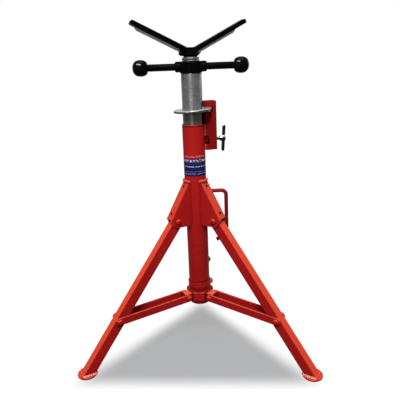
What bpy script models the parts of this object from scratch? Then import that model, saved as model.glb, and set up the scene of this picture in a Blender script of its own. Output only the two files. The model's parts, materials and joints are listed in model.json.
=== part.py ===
# Folding pipe jack stand: a round column on three folding legs with flat bar braces,
# a sliding inner tube held by a tilting friction ring and a wing screw,
# and a jack screw with a cross handle that carries a swivelling V head.
# Metres, +Z up. The origin is on the floor, in the middle of the box of the three feet.

from math import asin, atan2, copysign, cos, pi, radians, sin, sqrt, tan

import bmesh
import bpy
from mathutils import Matrix, Vector

# Clearances
GAP = 0.0003               # between neighbouring solids
RUNNING_GAP = 0.0003       # round a turning or sliding piece, on the radius
OVERRUN = 0.004            # how far a cutter passes the face it cuts

# Column and inner tube
COLUMN_OD = 0.0603
COLUMN_WALL = 0.0028
COLUMN_BOTTOM_Z = 0.1295
COLUMN_TOP_Z = 0.660
INNER_TUBE_OD = 0.054
INNER_TUBE_WALL = 0.003
INNER_TUBE_TOP_Z = 0.790
INNER_TUBE_LENGTH = 0.585
TUBE_EDGE = 0.0006

# Legs, all measured in the vertical plane of a leg: reach from the stand's axis, and height
LEG_PIVOT_REACH = 0.0659
LEG_PIVOT_Z = 0.3975
LEG_LEAN = radians(36.7)
LEG_WIDTH = 0.028
LEG_OUTER_OFFSET = 0.011   # outer face from the line through the pivot
LEG_INNER_OFFSET = 0.0185  # inner face from the same line
LEG_WALL = 0.002
LEG_CORNER = 0.003
LEG_HEAD_LENGTH = 0.013    # past the pivot
PAD_SETBACK = 0.0052       # pad's middle from where the pivot's line meets the floor
PAD_RADIUS = 0.027
PAD_THICKNESS = 0.005
PAD_EDGE = 0.0012

# Folded sheet bracket that holds the head of a leg
BRACKET_SHEET = 0.003
BRACKET_BEND = 0.0042
BRACKET_RISE = 0.1085      # its top above the leg's pivot
BRACKET_TOP_REACH = 0.0286
BRACKET_WEB_LEAN = radians(29.6)
BRACKET_WEB_LENGTH = 0.1165
BRACKET_SIDE_LENGTH = 0.1205   # the sides run on past the web's end
BRACKET_LOBE_RADIUS = 0.0175
WEB_HOLE_RADIUS = 0.0022
WEB_HOLE_INSET = 0.0165    # from each end of the web

# Collar that slides on the column and carries the braces
SLEEVE_WALL = 0.0024
SLEEVE_TOP_Z = 0.199
HUB_TOP_Z = 0.171
HUB_BOTTOM_Z = 0.144
HUB_RADIUS = 0.0338
COLLAR_PAD_REACH = 0.037
COLLAR_PAD_WIDTH = 0.032
COLLAR_EDGE = 0.0010
LUG_REACH = 0.054
LUG_WIDTH = 0.028
LUG_SHEET = 0.004
LUG_TOP_Z = 0.1655
LUG_BOTTOM_Z = 0.1445
BRACE_PIVOT_REACH = 0.044
BRACE_PIVOT_Z = 0.1535

# Braces: a pair of flat bars each
BRACE_THICKNESS = 0.005
BRACE_HEIGHT = 0.0213
BRACE_ON_LEG = 0.3183      # from the leg's pivot, along the leg

# Bolts and nuts
PIVOT_BOLT_DIAMETER = 0.010
PIVOT_HEAD_RADIUS = 0.0082
PIVOT_HEAD_HEIGHT = 0.0052
PIVOT_NUT_FLATS = 0.017
PIVOT_NUT_HEIGHT = 0.008
PIVOT_BOLT_END = 0.002     # past the nut
PIVOT_SLEEVE_DIAMETER = 0.0140
BRACE_BOLT_DIAMETER = 0.008
BRACE_HEAD_RADIUS = 0.0080
BRACE_HEAD_HEIGHT = 0.0048
BRACE_NUT_FLATS = 0.013
BRACE_NUT_HEIGHT = 0.0065
BRACE_BOLT_END = 0.0015
BRACE_SLEEVE_DIAMETER = 0.012
LOCK_BOLT_DIAMETER = 0.008
LOCK_BOLT_HEAD_FLATS = 0.013
LOCK_BOLT_HEAD_HEIGHT = 0.0055
LOCK_BOLT_STAND_OFF = 0.0015
LOCK_BOLT_Z = 0.1575

# Square tube bracket for the friction ring and the wing screw
ANCHOR_AZIMUTH = radians(19.0)
ANCHOR_SIZE = 0.0318
ANCHOR_WALL = 0.003
ANCHOR_CORNER = 0.0035
ANCHOR_DROP = 0.071        # its bottom below the column's top
ANCHOR_RISE = 0.059        # its top above the column's top
ANCHOR_SLOT_BOTTOM_RISE = 0.0295
ANCHOR_SLOT_TOP_RISE = 0.0432
ANCHOR_SLOT_DEPTH = 0.0225
ANCHOR_NOTCH_HEIGHT = 0.024
ANCHOR_NOTCH_DEPTH = 0.0095

# Friction ring and its spring
RING_OUTER_RADIUS = 0.051
RING_HOLE_RADIUS = 0.0276
RING_THICKNESS = 0.0055
RING_EDGE = 0.0008
RING_RISE = 0.0362         # its middle above the column's top
RING_TILT = radians(3.0)
SPRING_REACH = 0.0385
SPRING_RADIUS = 0.0042     # of the wire's middle
SPRING_WIRE = 0.0014
SPRING_TURNS = 6
SPRING_POINTS_A_TURN = 10

# Wing screw
WING_DROP = 0.044          # its axis below the column's top
WING_STUD_DIAMETER = 0.009
WING_STUD_END_REACH = 0.0805
WING_HUB_REACH = 0.0735
WING_HUB_RADIUS = 0.0068
WING_HUB_END_RADIUS = 0.0085
WING_HUB_LENGTH = 0.0155
WING_SPAN = 0.0725
WING_BLADE = 0.0085
WING_THICKNESS = 0.0055
WING_SWEEP = 0.0022        # each tip lies this much further out than the middle
WING_NUT_FLATS = 0.020
WING_NUT_THICKNESS = 0.0052

# Carry handle
CARRY_ROD_DIAMETER = 0.011
CARRY_AZIMUTH = radians(4.2)
CARRY_SIDE_OFFSET = 0.008
CARRY_TOP_Z = 0.4697
CARRY_OUTER_REACH = 0.0855
CARRY_BEND_RADIUS = 0.0135
CARRY_LOWER_Z = 0.3445
CARRY_TAIL_LEAN = radians(27.5)
CARRY_TAIL_REACH = 0.0557

# Jack screw, handle nut, cross handle and knobs
SCREW_DIAMETER = 0.0465
SCREW_BORE = 0.031
SCREW_TOP_Z = 0.8305
SCREW_LENGTH = 0.150
NUT_RADIUS = 0.029
NUT_BOTTOM_Z = 0.7905
NUT_TOP_Z = 0.8205
NUT_EDGE = 0.0022
NUT_BOSS_RADIUS = 0.0135
NUT_BOSS_REACH = 0.041
HANDLE_AZIMUTH = radians(4.8)
HANDLE_Z = 0.8072
HANDLE_BAR_DIAMETER = 0.018
HANDLE_BAR_START = 0.031
HANDLE_NECK_DIAMETER = 0.010
KNOB_RADIUS = 0.0206
KNOB_FULLNESS = 2.4        # 2 is a ball, and more is squarer
KNOB_REACH = 0.1298
KNOB_FLAT = 0.0178         # flat face from the knob's middle
KNOB_BORE_DEPTH = 0.017

# V head
HEAD_AZIMUTH = radians(20.2)
HEAD_VALLEY_Z = 0.854
HEAD_VALLEY_HALF = 0.011
HEAD_RISE = radians(26.2)
HEAD_ARM_LENGTH = 0.151
HEAD_ARM_THICKNESS = 0.0110
HEAD_ARM_DEPTH = 0.026
HEAD_TIP_RADIUS = 0.0035
HEAD_HUB_RADIUS = 0.0215
HEAD_HUB_CHAMFER = 0.0045
HEAD_STEM_LENGTH = 0.045
RIB_HEIGHT = 0.0062
RIB_THICKNESS = 0.006
RIB_LEFT_SHARE = 0.96      # how far along its arm each rib runs
RIB_RIGHT_SHARE = 0.84

# Facets round a full turn
TUBE_FACETS = 40
SMALL_FACETS = 16
HOLE_FACETS = 20
BOSS_FACETS = 24

LEG_AZIMUTHS = {"left": radians(-150.0), "right": radians(-30.0), "rear": radians(90.0)}
BOLT_HEAD_SIDES = {"left": 1, "right": -1, "rear": -1}   # side of the leg's plane that shows the head

# Sizes that follow from the ones above
COLUMN_RADIUS = COLUMN_OD / 2
INNER_TUBE_RADIUS = INNER_TUBE_OD / 2
SLEEVE_BORE_RADIUS = COLUMN_RADIUS + RUNNING_GAP
SLEEVE_RADIUS = SLEEVE_BORE_RADIUS + SLEEVE_WALL
HALF_LEG = LEG_WIDTH / 2
BRACKET_HALF_INSIDE = HALF_LEG + GAP
BRACKET_HALF_OUTSIDE = BRACKET_HALF_INSIDE + BRACKET_SHEET
BRACE_INNER_SIDE = HALF_LEG + GAP
BRACE_OUTER_SIDE = BRACE_INNER_SIDE + BRACE_THICKNESS
PIVOT_HOLE_RADIUS = PIVOT_BOLT_DIAMETER / 2 + RUNNING_GAP
BRACE_HOLE_RADIUS = BRACE_BOLT_DIAMETER / 2 + RUNNING_GAP
LEG_PIVOT = Vector((LEG_PIVOT_REACH, 0, LEG_PIVOT_Z))
BRACE_PIVOT = Vector((BRACE_PIVOT_REACH, 0, BRACE_PIVOT_Z))
LEG_DOWN = Vector((sin(LEG_LEAN), 0, -cos(LEG_LEAN)))
BRACE_FOOT = LEG_PIVOT + BRACE_ON_LEG * LEG_DOWN
BRACE_RUN = BRACE_FOOT - BRACE_PIVOT
BRACE_LENGTH = BRACE_RUN.length
BRACE_DIP = atan2(-BRACE_RUN.z, BRACE_RUN.x)
LEG_END = (LEG_PIVOT_Z - PAD_THICKNESS - GAP) / cos(LEG_LEAN)
PAD_REACH = LEG_PIVOT_REACH + LEG_PIVOT_Z * tan(LEG_LEAN) - PAD_SETBACK
BRACKET_TOP_Z = LEG_PIVOT_Z + BRACKET_RISE
ANCHOR_BOTTOM_Z = COLUMN_TOP_Z - ANCHOR_DROP
ANCHOR_TOP_Z = COLUMN_TOP_Z + ANCHOR_RISE
ANCHOR_SLOT_BOTTOM_Z = COLUMN_TOP_Z + ANCHOR_SLOT_BOTTOM_RISE
ANCHOR_SLOT_TOP_Z = COLUMN_TOP_Z + ANCHOR_SLOT_TOP_RISE
RING_Z = COLUMN_TOP_Z + RING_RISE
WING_Z = COLUMN_TOP_Z - WING_DROP
# The box round three feet at 120 degrees has its middle a quarter of their reach off the axis.
STAND_AXIS_Y = -PAD_REACH / 4


def paint(name, colour, roughness, metallic=0.0):
    material = bpy.data.materials.new(name)
    material.use_nodes = True
    shader = material.node_tree.nodes["Principled BSDF"]
    shader.inputs["Base Color"].default_value = (*colour, 1)
    shader.inputs["Roughness"].default_value = roughness
    shader.inputs["Metallic"].default_value = metallic
    material.diffuse_color = (*colour, 1)
    return material


def clear_scene():
    for old in list(bpy.data.objects):
        bpy.data.objects.remove(old)
    for old in list(bpy.data.collections):
        bpy.data.collections.remove(old)


clear_scene()
scene = bpy.context.scene
parts = bpy.data.collections.new("pipe_jack_stand")
cutters = bpy.data.collections.new("cutters")
scene.collection.children.link(parts)
scene.collection.children.link(cutters)
cutters.hide_render = True

RED = paint("red_paint", (0.62, 0.045, 0.03), 0.38)
ZINC = paint("zinc_plate", (0.42, 0.43, 0.43), 0.42, 0.85)
BLACK = paint("black_enamel", (0.012, 0.012, 0.013), 0.25)
KNOB = paint("knob_plastic", (0.012, 0.012, 0.013), 0.2)
STEEL = paint("plain_steel", (0.33, 0.33, 0.32), 0.38, 0.9)


# Small helpers

def mesh_of(shape):
    """The object's mesh with its modifiers worked in, in its own coordinates."""
    bpy.context.view_layer.update()
    graph = bpy.context.evaluated_depsgraph_get()
    return bpy.data.meshes.new_from_object(shape.evaluated_get(graph))


def link_shape(name, data, collection):
    shape = bpy.data.objects.new(name, data)
    collection.objects.link(shape)
    return shape


def round_off(mesh, angle=radians(40)):
    mesh.shade_smooth()
    mesh.set_sharp_from_angle(angle=angle)


def piece(name, mesh, material, parent, place=(0, 0, 0), turn=(0, 0, 0)):
    """A named solid of the stand."""
    shape = link_shape(name, mesh, parts)
    if not mesh.materials:
        mesh.materials.append(material)
        round_off(mesh)
    shape.parent = parent
    shape.location = place
    shape.rotation_euler = turn
    return shape


def empty(name, parent=None, place=(0, 0, 0), turn=(0, 0, 0)):
    marker = link_shape(name, None, parts)
    marker.empty_display_size = PAD_RADIUS
    marker.parent = parent
    marker.location = place
    marker.rotation_euler = turn
    return marker


def box_mesh(low, high, corner=0.0, along="z", steps=2):
    """A box from its two corners, with the four edges along one direction rounded."""
    size = Vector(high) - Vector(low)
    middle = (Vector(high) + Vector(low)) / 2
    solid = bmesh.new()
    bmesh.ops.create_cube(solid, size=1)
    bmesh.ops.scale(solid, vec=size, verts=solid.verts)
    if corner:
        axis = "xyz".index(along)
        edges = [edge for edge in solid.edges
                 if abs(edge.verts[0].co[axis] - edge.verts[1].co[axis]) > size[axis] / 2]
        bmesh.ops.bevel(solid, geom=edges, offset=corner, segments=steps, profile=0.5,
                        affect="EDGES")
    bmesh.ops.translate(solid, vec=middle, verts=solid.verts)
    return written(solid)


def rod_mesh(radius, length, facets, axis="z", start=(0, 0, 0), edge=0.0):
    """A cylinder that runs from start along an axis, with its end edges broken if edge is given."""
    solid = bmesh.new()
    bmesh.ops.create_cone(solid, cap_ends=True, segments=facets, radius1=radius,
                          radius2=radius, depth=length)
    if edge:
        rims = [line for line in solid.edges
                if abs(line.verts[0].co.z - line.verts[1].co.z) < length / 2]
        bmesh.ops.bevel(solid, geom=rims, offset=edge, segments=1, profile=0.5, affect="EDGES")
    bmesh.ops.translate(solid, vec=(0, 0, length / 2), verts=solid.verts)
    turn = {"x": Matrix.Rotation(pi / 2, 3, "Y"), "y": Matrix.Rotation(-pi / 2, 3, "X"),
            "z": Matrix.Identity(3)}[axis]
    bmesh.ops.rotate(solid, matrix=turn, verts=solid.verts)
    bmesh.ops.translate(solid, vec=start, verts=solid.verts)
    return written(solid)


def written(solid, name="shape"):
    mesh = bpy.data.meshes.new(name)
    solid.to_mesh(mesh)
    solid.free()
    return mesh


def turned_mesh(profile, facets, closed=True):
    """A profile of (radius, height) points, turned about Z. Outer sides run from top to bottom."""
    outline = bpy.data.meshes.new("profile")
    count = len(profile)
    edges = [(index, index + 1) for index in range(count - 1)]
    if closed:
        edges.append((count - 1, 0))
    outline.from_pydata([(radius, 0, height) for radius, height in profile], edges, [])
    shape = link_shape("profile", outline, cutters)
    screw = shape.modifiers.new("turn", "SCREW")
    screw.steps = facets
    screw.render_steps = facets
    screw.use_merge_vertices = True
    screw.merge_threshold = 0.00001
    mesh = mesh_of(shape)
    bpy.data.objects.remove(shape)
    return mesh


def arc(middle, radius, start, end, steps):
    """Points on an arc, both ends included."""
    return [(middle[0] + radius * cos(start + (end - start) * step / steps),
             middle[1] + radius * sin(start + (end - start) * step / steps))
            for step in range(steps + 1)]


def ring_of_points(middle, radius, facets):
    return arc(middle, radius, 0, 2 * pi, facets)[:-1]


def prism_mesh(outline, length, holes=()):
    """A flat outline in the XY plane, extruded by half its length to both sides along Z."""
    curve = bpy.data.curves.new("outline", "CURVE")
    curve.dimensions = "2D"
    curve.fill_mode = "BOTH"
    curve.extrude = length / 2
    for loop in (outline, *holes):
        spline = curve.splines.new("POLY")
        spline.points.add(len(loop) - 1)
        for point, (across, up) in zip(spline.points, loop):
            point.co = (across, up, 0, 1)
        spline.use_cyclic_u = True
    shape = link_shape("outline", curve, cutters)
    mesh = mesh_of(shape)
    bpy.data.objects.remove(shape)
    solid = bmesh.new()
    solid.from_mesh(mesh)
    bmesh.ops.remove_doubles(solid, verts=solid.verts, dist=0.000001)
    return written(solid)


def plate_mesh(outline, thickness, holes=()):
    """A flat outline of (reach, height) points in the XZ plane, with its thickness along Y."""
    mesh = prism_mesh(outline, thickness, holes)
    mesh.transform(Matrix.Rotation(pi / 2, 4, "X"))
    return mesh


def tool(mesh, place=(0, 0, 0), turn=(0, 0, 0)):
    """A helper solid for a Boolean, kept out of the render."""
    shape = link_shape("tool", mesh, cutters)
    shape.location = place
    shape.rotation_euler = turn
    shape.hide_render = True
    shape.display_type = "WIRE"
    return shape


def combined(mesh, cuts=(), joins=(), within=()):
    """The mesh after other solids are joined to it, bound it, and are cut out of it."""
    shape = link_shape("work", mesh, cutters)
    for operation, helpers in (("UNION", joins), ("INTERSECT", within), ("DIFFERENCE", cuts)):
        for helper in helpers:
            step = shape.modifiers.new(operation.lower(), "BOOLEAN")
            step.operation = operation
            step.solver = "EXACT"
            step.object = helper
    result = mesh_of(shape)
    bpy.data.objects.remove(shape)
    for helper in (*joins, *within, *cuts):
        bpy.data.objects.remove(helper)
    return result


def tube_profile(outer, inner, bottom, top, edge):
    """A ring section with its outer edges broken, listed down the outer side."""
    return [(outer - edge, top), (outer, top - edge), (outer, bottom + edge),
            (outer - edge, bottom), (inner, bottom), (inner, top)]


def hex_mesh(flats, height, bore_radius, edge):
    """A hexagon along Y from y = 0, with its corners turned off at both ends, solid or bored."""
    corner_radius = flats / 2 / cos(pi / 6)
    blank = turned_mesh([(bore_radius, height), (flats / 2 - edge, height),
                         (corner_radius + edge, height - 2 * edge),
                         (corner_radius + edge, 2 * edge), (flats / 2 - edge, 0),
                         (bore_radius, 0)], HOLE_FACETS, closed=bore_radius > 0)
    prism = tool(rod_mesh(corner_radius, height + 2 * OVERRUN, 6, "z", (0, 0, -OVERRUN)))
    result = combined(blank, within=[prism])
    result.transform(Matrix.Rotation(-pi / 2, 4, "X"))
    return result


def dome_bolt_mesh(head_radius, head_height, shank_radius, length):
    """A dome head bolt along Y: the head rises from y = 0, and the shank runs down from it."""
    dome = [(head_radius * cos(angle), head_height * sin(angle))
            for angle in (pi / 2 * step / 4 for step in range(4, -1, -1))]
    dome[0] = (0, head_height)
    profile = [*dome, (shank_radius, 0), (shank_radius, -length), (0, -length)]
    mesh = turned_mesh(profile, SMALL_FACETS, closed=False)
    mesh.transform(Matrix.Rotation(-pi / 2, 4, "X"))
    return mesh


# The column and what is welded to it

def anchor_direction(reach, z):
    return (reach * cos(ANCHOR_AZIMUTH), reach * sin(ANCHOR_AZIMUTH), z)


def outer_column_mesh():
    tube = turned_mesh(tube_profile(COLUMN_RADIUS, COLUMN_RADIUS - COLUMN_WALL,
                                    COLUMN_BOTTOM_Z, COLUMN_TOP_Z, TUBE_EDGE), TUBE_FACETS)
    hole = rod_mesh(WING_STUD_DIAMETER / 2 + RUNNING_GAP, COLUMN_RADIUS, HOLE_FACETS, "x",
                    (INNER_TUBE_RADIUS / 2, 0, WING_Z))
    return combined(tube, cuts=[tool(hole, turn=(0, 0, ANCHOR_AZIMUTH))])


def channel_section():
    """Section of the folded sheet, with its outer face at x = 0 and its sides towards -X."""
    half = BRACKET_HALF_OUTSIDE
    inner = BRACKET_HALF_INSIDE
    bend = BRACKET_BEND
    inner_bend = BRACKET_BEND - BRACKET_SHEET
    deep = LEG_PIVOT_REACH + BRACKET_LOBE_RADIUS
    return [(-deep, -half), *arc((-bend, bend - half), bend, -pi / 2, 0, 4),
            *arc((-bend, half - bend), bend, 0, pi / 2, 4), (-deep, half),
            (-deep, inner), *arc((-bend, half - bend), inner_bend, pi / 2, 0, 2),
            *arc((-bend, bend - half), inner_bend, 0, -pi / 2, 2), (-deep, -inner)]


def leg_bracket_mesh():
    """A channel folded from sheet, cut to its side outline and to the column."""
    pivot = (LEG_PIVOT_REACH, LEG_PIVOT_Z)
    web = Vector((sin(BRACKET_WEB_LEAN), -cos(BRACKET_WEB_LEAN)))
    outward = Vector((cos(BRACKET_WEB_LEAN), sin(BRACKET_WEB_LEAN)))
    top = Vector((BRACKET_TOP_REACH, BRACKET_TOP_Z))
    end = top + BRACKET_SIDE_LENGTH * web
    channel = prism_mesh(channel_section(), 2 * (BRACKET_SIDE_LENGTH + BRACKET_LOBE_RADIUS))
    channel.transform(Matrix.Translation((top[0], 0, top[1]))
                      @ Matrix.Rotation(-BRACKET_WEB_LEAN, 4, "Y"))
    lobe = arc(pivot, BRACKET_LOBE_RADIUS, radians(-12), radians(-90), 6)
    behind = COLUMN_RADIUS / 2
    past = OVERRUN * outward
    outline = [(top + past)[:], (end + past)[:], (end - 2 * past)[:], *lobe,
               (behind, LEG_PIVOT_Z - BRACKET_LOBE_RADIUS), (behind, BRACKET_TOP_Z),
               (top[0], BRACKET_TOP_Z)]
    side = plate_mesh(outline, 4 * BRACKET_HALF_OUTSIDE)
    web_end = top + BRACKET_WEB_LENGTH * web
    flat_half = BRACKET_HALF_OUTSIDE - BRACKET_BEND - GAP
    below_web = box_mesh((-BRACKET_BEND, -flat_half, -BRACKET_SIDE_LENGTH),
                         (2 * OVERRUN, flat_half, 0))
    cuts = [tool(rod_mesh(COLUMN_RADIUS + GAP, BRACKET_TOP_Z + OVERRUN, TUBE_FACETS)),
            tool(rod_mesh(PIVOT_HOLE_RADIUS, 4 * BRACKET_HALF_OUTSIDE, HOLE_FACETS, "y",
                          (LEG_PIVOT_REACH, -2 * BRACKET_HALF_OUTSIDE, LEG_PIVOT_Z))),
            tool(below_web, (web_end[0], 0, web_end[1]), (0, -BRACKET_WEB_LEAN, 0))]
    for along in (WEB_HOLE_INSET, BRACKET_WEB_LENGTH - WEB_HOLE_INSET):
        place = top + along * web
        drill = rod_mesh(WEB_HOLE_RADIUS, 2 * BRACKET_BEND, SMALL_FACETS, "x",
                         (-BRACKET_BEND, 0, 0))
        cuts.append(tool(drill, (place[0], 0, place[1]), (0, -BRACKET_WEB_LEAN, 0)))
    return combined(channel, cuts=cuts, within=[tool(side)])


def ring_bracket_mesh():
    """Square tube with a slot for the ring's tail, in the plane of the anchor."""
    near = COLUMN_RADIUS + GAP
    far = near + ANCHOR_SIZE
    half = ANCHOR_SIZE / 2
    blank = box_mesh((near, -half, ANCHOR_BOTTOM_Z), (far, half, ANCHOR_TOP_Z), ANCHOR_CORNER)
    bore_half = half - ANCHOR_WALL
    middle = near + half
    seat_top = COLUMN_TOP_Z
    seat_bottom = seat_top - ANCHOR_WALL
    bore_top = box_mesh((middle - bore_half, -bore_half, seat_top),
                        (middle + bore_half, bore_half, ANCHOR_TOP_Z + OVERRUN))
    bore_bottom = box_mesh((middle - bore_half, -bore_half, ANCHOR_BOTTOM_Z - OVERRUN),
                           (middle + bore_half, bore_half, seat_bottom))
    slot = box_mesh((near - OVERRUN, -half - OVERRUN, ANCHOR_SLOT_BOTTOM_Z),
                    (near + ANCHOR_SLOT_DEPTH, half + OVERRUN, ANCHOR_SLOT_TOP_Z))
    window = box_mesh((near - OVERRUN, -bore_half, seat_top),
                      (middle, bore_half, ANCHOR_SLOT_TOP_Z))
    notch = box_mesh((near - OVERRUN, -half - OVERRUN, WING_Z - ANCHOR_NOTCH_HEIGHT / 2),
                     (near + ANCHOR_NOTCH_DEPTH, half + OVERRUN,
                      WING_Z + ANCHOR_NOTCH_HEIGHT / 2))
    hole = rod_mesh(WING_STUD_DIAMETER / 2 + RUNNING_GAP, ANCHOR_SIZE, HOLE_FACETS, "x",
                    (middle, 0, WING_Z))
    return combined(blank, cuts=[tool(mesh) for mesh in
                                 (bore_top, bore_bottom, slot, window, notch, hole)])


def carry_handle_mesh():
    """A round bar with two bends, in its own vertical plane."""
    radius = CARRY_BEND_RADIUS
    start = sqrt((COLUMN_RADIUS + GAP) ** 2 - (CARRY_SIDE_OFFSET - CARRY_ROD_DIAMETER / 2) ** 2)
    path = [(start, CARRY_TOP_Z)]
    upper = (CARRY_OUTER_REACH - radius, CARRY_TOP_Z - radius)
    path += arc(upper, radius, pi / 2, 0, 6)
    lower = (CARRY_OUTER_REACH - radius, CARRY_LOWER_Z)
    path += arc(lower, radius, 0, CARRY_TAIL_LEAN - pi / 2, 5)
    bend_end = path[-1]
    run = (bend_end[0] - CARRY_TAIL_REACH) / cos(CARRY_TAIL_LEAN)
    path.append((CARRY_TAIL_REACH, bend_end[1] - run * sin(CARRY_TAIL_LEAN)))
    curve = bpy.data.curves.new("rod", "CURVE")
    curve.dimensions = "3D"
    curve.bevel_depth = CARRY_ROD_DIAMETER / 2
    curve.bevel_resolution = 3
    curve.use_fill_caps = True
    spline = curve.splines.new("POLY")
    spline.points.add(len(path) - 1)
    for point, (reach, height) in zip(spline.points, path):
        point.co = (reach, 0, height, 1)
    shape = link_shape("rod", curve, cutters)
    mesh = mesh_of(shape)
    bpy.data.objects.remove(shape)
    solid = bmesh.new()
    solid.from_mesh(mesh)
    bmesh.ops.remove_doubles(solid, verts=solid.verts, dist=0.000001)
    bmesh.ops.recalc_face_normals(solid, faces=solid.faces)
    rod = written(solid)
    column = rod_mesh(COLUMN_RADIUS + GAP, CARRY_TOP_Z, TUBE_FACETS, "z",
                      (0, -CARRY_SIDE_OFFSET, CARRY_TOP_Z / 2))
    return combined(rod, cuts=[tool(column)])


# Leg, foot pad and brace meshes, each about its own pivot

def leg_mesh():
    """Rectangular tube that hangs from the pivot along -Z, with its outer face at +X."""
    long_enough = LEG_END + LEG_WIDTH
    tube = box_mesh((-LEG_INNER_OFFSET, -HALF_LEG, -long_enough),
                    (LEG_OUTER_OFFSET, HALF_LEG, LEG_HEAD_LENGTH), LEG_CORNER)
    bore = box_mesh((LEG_WALL - LEG_INNER_OFFSET, LEG_WALL - HALF_LEG, -long_enough - OVERRUN),
                    (LEG_OUTER_OFFSET - LEG_WALL, HALF_LEG - LEG_WALL, LEG_HEAD_LENGTH + OVERRUN),
                    LEG_CORNER - LEG_WALL, steps=1)
    below = box_mesh((-LEG_END, -LEG_WIDTH, -LEG_END), (LEG_END, LEG_WIDTH, 0))
    cuts = [tool(bore), tool(below, (0, 0, -LEG_END), (0, LEG_LEAN, 0))]
    for radius, down in ((PIVOT_SLEEVE_DIAMETER / 2 + GAP, 0),
                         (BRACE_SLEEVE_DIAMETER / 2 + GAP, BRACE_ON_LEG)):
        cuts.append(tool(rod_mesh(radius, 2 * LEG_WIDTH, HOLE_FACETS, "y",
                                  (0, -LEG_WIDTH, -down))))
    return combined(tube, cuts=cuts)


def foot_pad_mesh():
    """A disc with broken edges that rises from z = 0."""
    profile = [(0, PAD_THICKNESS), (PAD_RADIUS - PAD_EDGE, PAD_THICKNESS),
               (PAD_RADIUS, PAD_THICKNESS - PAD_EDGE), (PAD_RADIUS, 0), (0, 0)]
    return turned_mesh(profile, TUBE_FACETS, closed=False)


def sleeve_mesh(diameter, bolt_diameter):
    """Spacer across the inside of a leg, along Y."""
    bore = bolt_diameter / 2 + RUNNING_GAP
    mesh = turned_mesh([(diameter / 2, HALF_LEG), (diameter / 2, -HALF_LEG),
                        (bore, -HALF_LEG), (bore, HALF_LEG)], HOLE_FACETS)
    mesh.transform(Matrix.Rotation(-pi / 2, 4, "X"))
    return mesh


def brace_bar_mesh():
    """Flat bar with round ends, from its pivot along +X."""
    half = BRACE_HEIGHT / 2
    outline = [*arc((0, 0), half, pi / 2, 3 * pi / 2, 10),
               *arc((BRACE_LENGTH, 0), half, -pi / 2, pi / 2, 10)]
    holes = [ring_of_points((reach, 0), BRACE_HOLE_RADIUS, HOLE_FACETS)
             for reach in (0, BRACE_LENGTH)]
    return plate_mesh(outline, BRACE_THICKNESS, holes)


# Sliding collar

def collar_mesh():
    """Sleeve, hub, three flat pads and three lugs in one piece, in stand coordinates."""
    sleeve = turned_mesh([(SLEEVE_RADIUS - COLLAR_EDGE, SLEEVE_TOP_Z),
                          (SLEEVE_RADIUS, SLEEVE_TOP_Z - COLLAR_EDGE),
                          (SLEEVE_RADIUS, HUB_TOP_Z), (HUB_RADIUS, HUB_TOP_Z),
                          (HUB_RADIUS, HUB_BOTTOM_Z + COLLAR_EDGE),
                          (HUB_RADIUS - COLLAR_EDGE, HUB_BOTTOM_Z),
                          (SLEEVE_BORE_RADIUS, HUB_BOTTOM_Z),
                          (SLEEVE_BORE_RADIUS, SLEEVE_TOP_Z)], TUBE_FACETS)
    half_pad = COLLAR_PAD_WIDTH / 2
    half_lug = LUG_WIDTH / 2
    joins = []
    cuts = []
    for azimuth in LEG_AZIMUTHS.values():
        pad = box_mesh((0, -half_pad, HUB_BOTTOM_Z + COLLAR_EDGE),
                       (COLLAR_PAD_REACH, half_pad, HUB_TOP_Z - COLLAR_EDGE), COLLAR_EDGE, "z")
        joins.append(tool(pad, turn=(0, 0, azimuth + pi)))
        lug = box_mesh((0, -half_lug, LUG_BOTTOM_Z), (LUG_REACH, half_lug, LUG_TOP_Z),
                       LUG_SHEET / 2, "x")
        joins.append(tool(lug, turn=(0, 0, azimuth)))
        channel = box_mesh((HUB_RADIUS, LUG_SHEET - half_lug, LUG_BOTTOM_Z - OVERRUN),
                           (LUG_REACH + OVERRUN, half_lug - LUG_SHEET, LUG_TOP_Z - LUG_SHEET))
        cuts.append(tool(channel, turn=(0, 0, azimuth)))
        hole = rod_mesh(BRACE_HOLE_RADIUS, 2 * LUG_WIDTH, HOLE_FACETS, "y",
                        (BRACE_PIVOT_REACH, -LUG_WIDTH, BRACE_PIVOT_Z))
        cuts.append(tool(hole, turn=(0, 0, azimuth)))
    cuts.append(tool(rod_mesh(SLEEVE_BORE_RADIUS, SLEEVE_TOP_Z, TUBE_FACETS)))
    tapping = rod_mesh(LOCK_BOLT_DIAMETER / 2 + RUNNING_GAP, COLLAR_PAD_REACH, HOLE_FACETS, "x",
                       (COLUMN_RADIUS / 2, 0, LOCK_BOLT_Z))
    cuts.append(tool(tapping, turn=(0, 0, LEG_AZIMUTHS["right"] + pi)))
    return combined(sleeve, cuts=cuts, joins=joins)


def lock_bolt_mesh():
    """Hexagon head bolt along X, with its tip against the column."""
    tip = COLUMN_RADIUS + GAP
    head = COLLAR_PAD_REACH + LOCK_BOLT_STAND_OFF
    shank = rod_mesh(LOCK_BOLT_DIAMETER / 2, head + OVERRUN - tip, SMALL_FACETS, "x", (tip, 0, 0))
    corner_radius = LOCK_BOLT_HEAD_FLATS / 2 / cos(pi / 6)
    hexagon = rod_mesh(corner_radius, LOCK_BOLT_HEAD_HEIGHT, 6, "x", (head, 0, 0))
    return combined(hexagon, joins=[tool(shank)])


# Friction ring, spring and wing screw, all in the anchor's plane

def friction_ring_mesh():
    half = RING_THICKNESS / 2
    return turned_mesh([(RING_OUTER_RADIUS - RING_EDGE, half),
                        (RING_OUTER_RADIUS, half - RING_EDGE),
                        (RING_OUTER_RADIUS, RING_EDGE - half),
                        (RING_OUTER_RADIUS - RING_EDGE, -half),
                        (RING_HOLE_RADIUS, -half), (RING_HOLE_RADIUS, half)], TUBE_FACETS)


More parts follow.
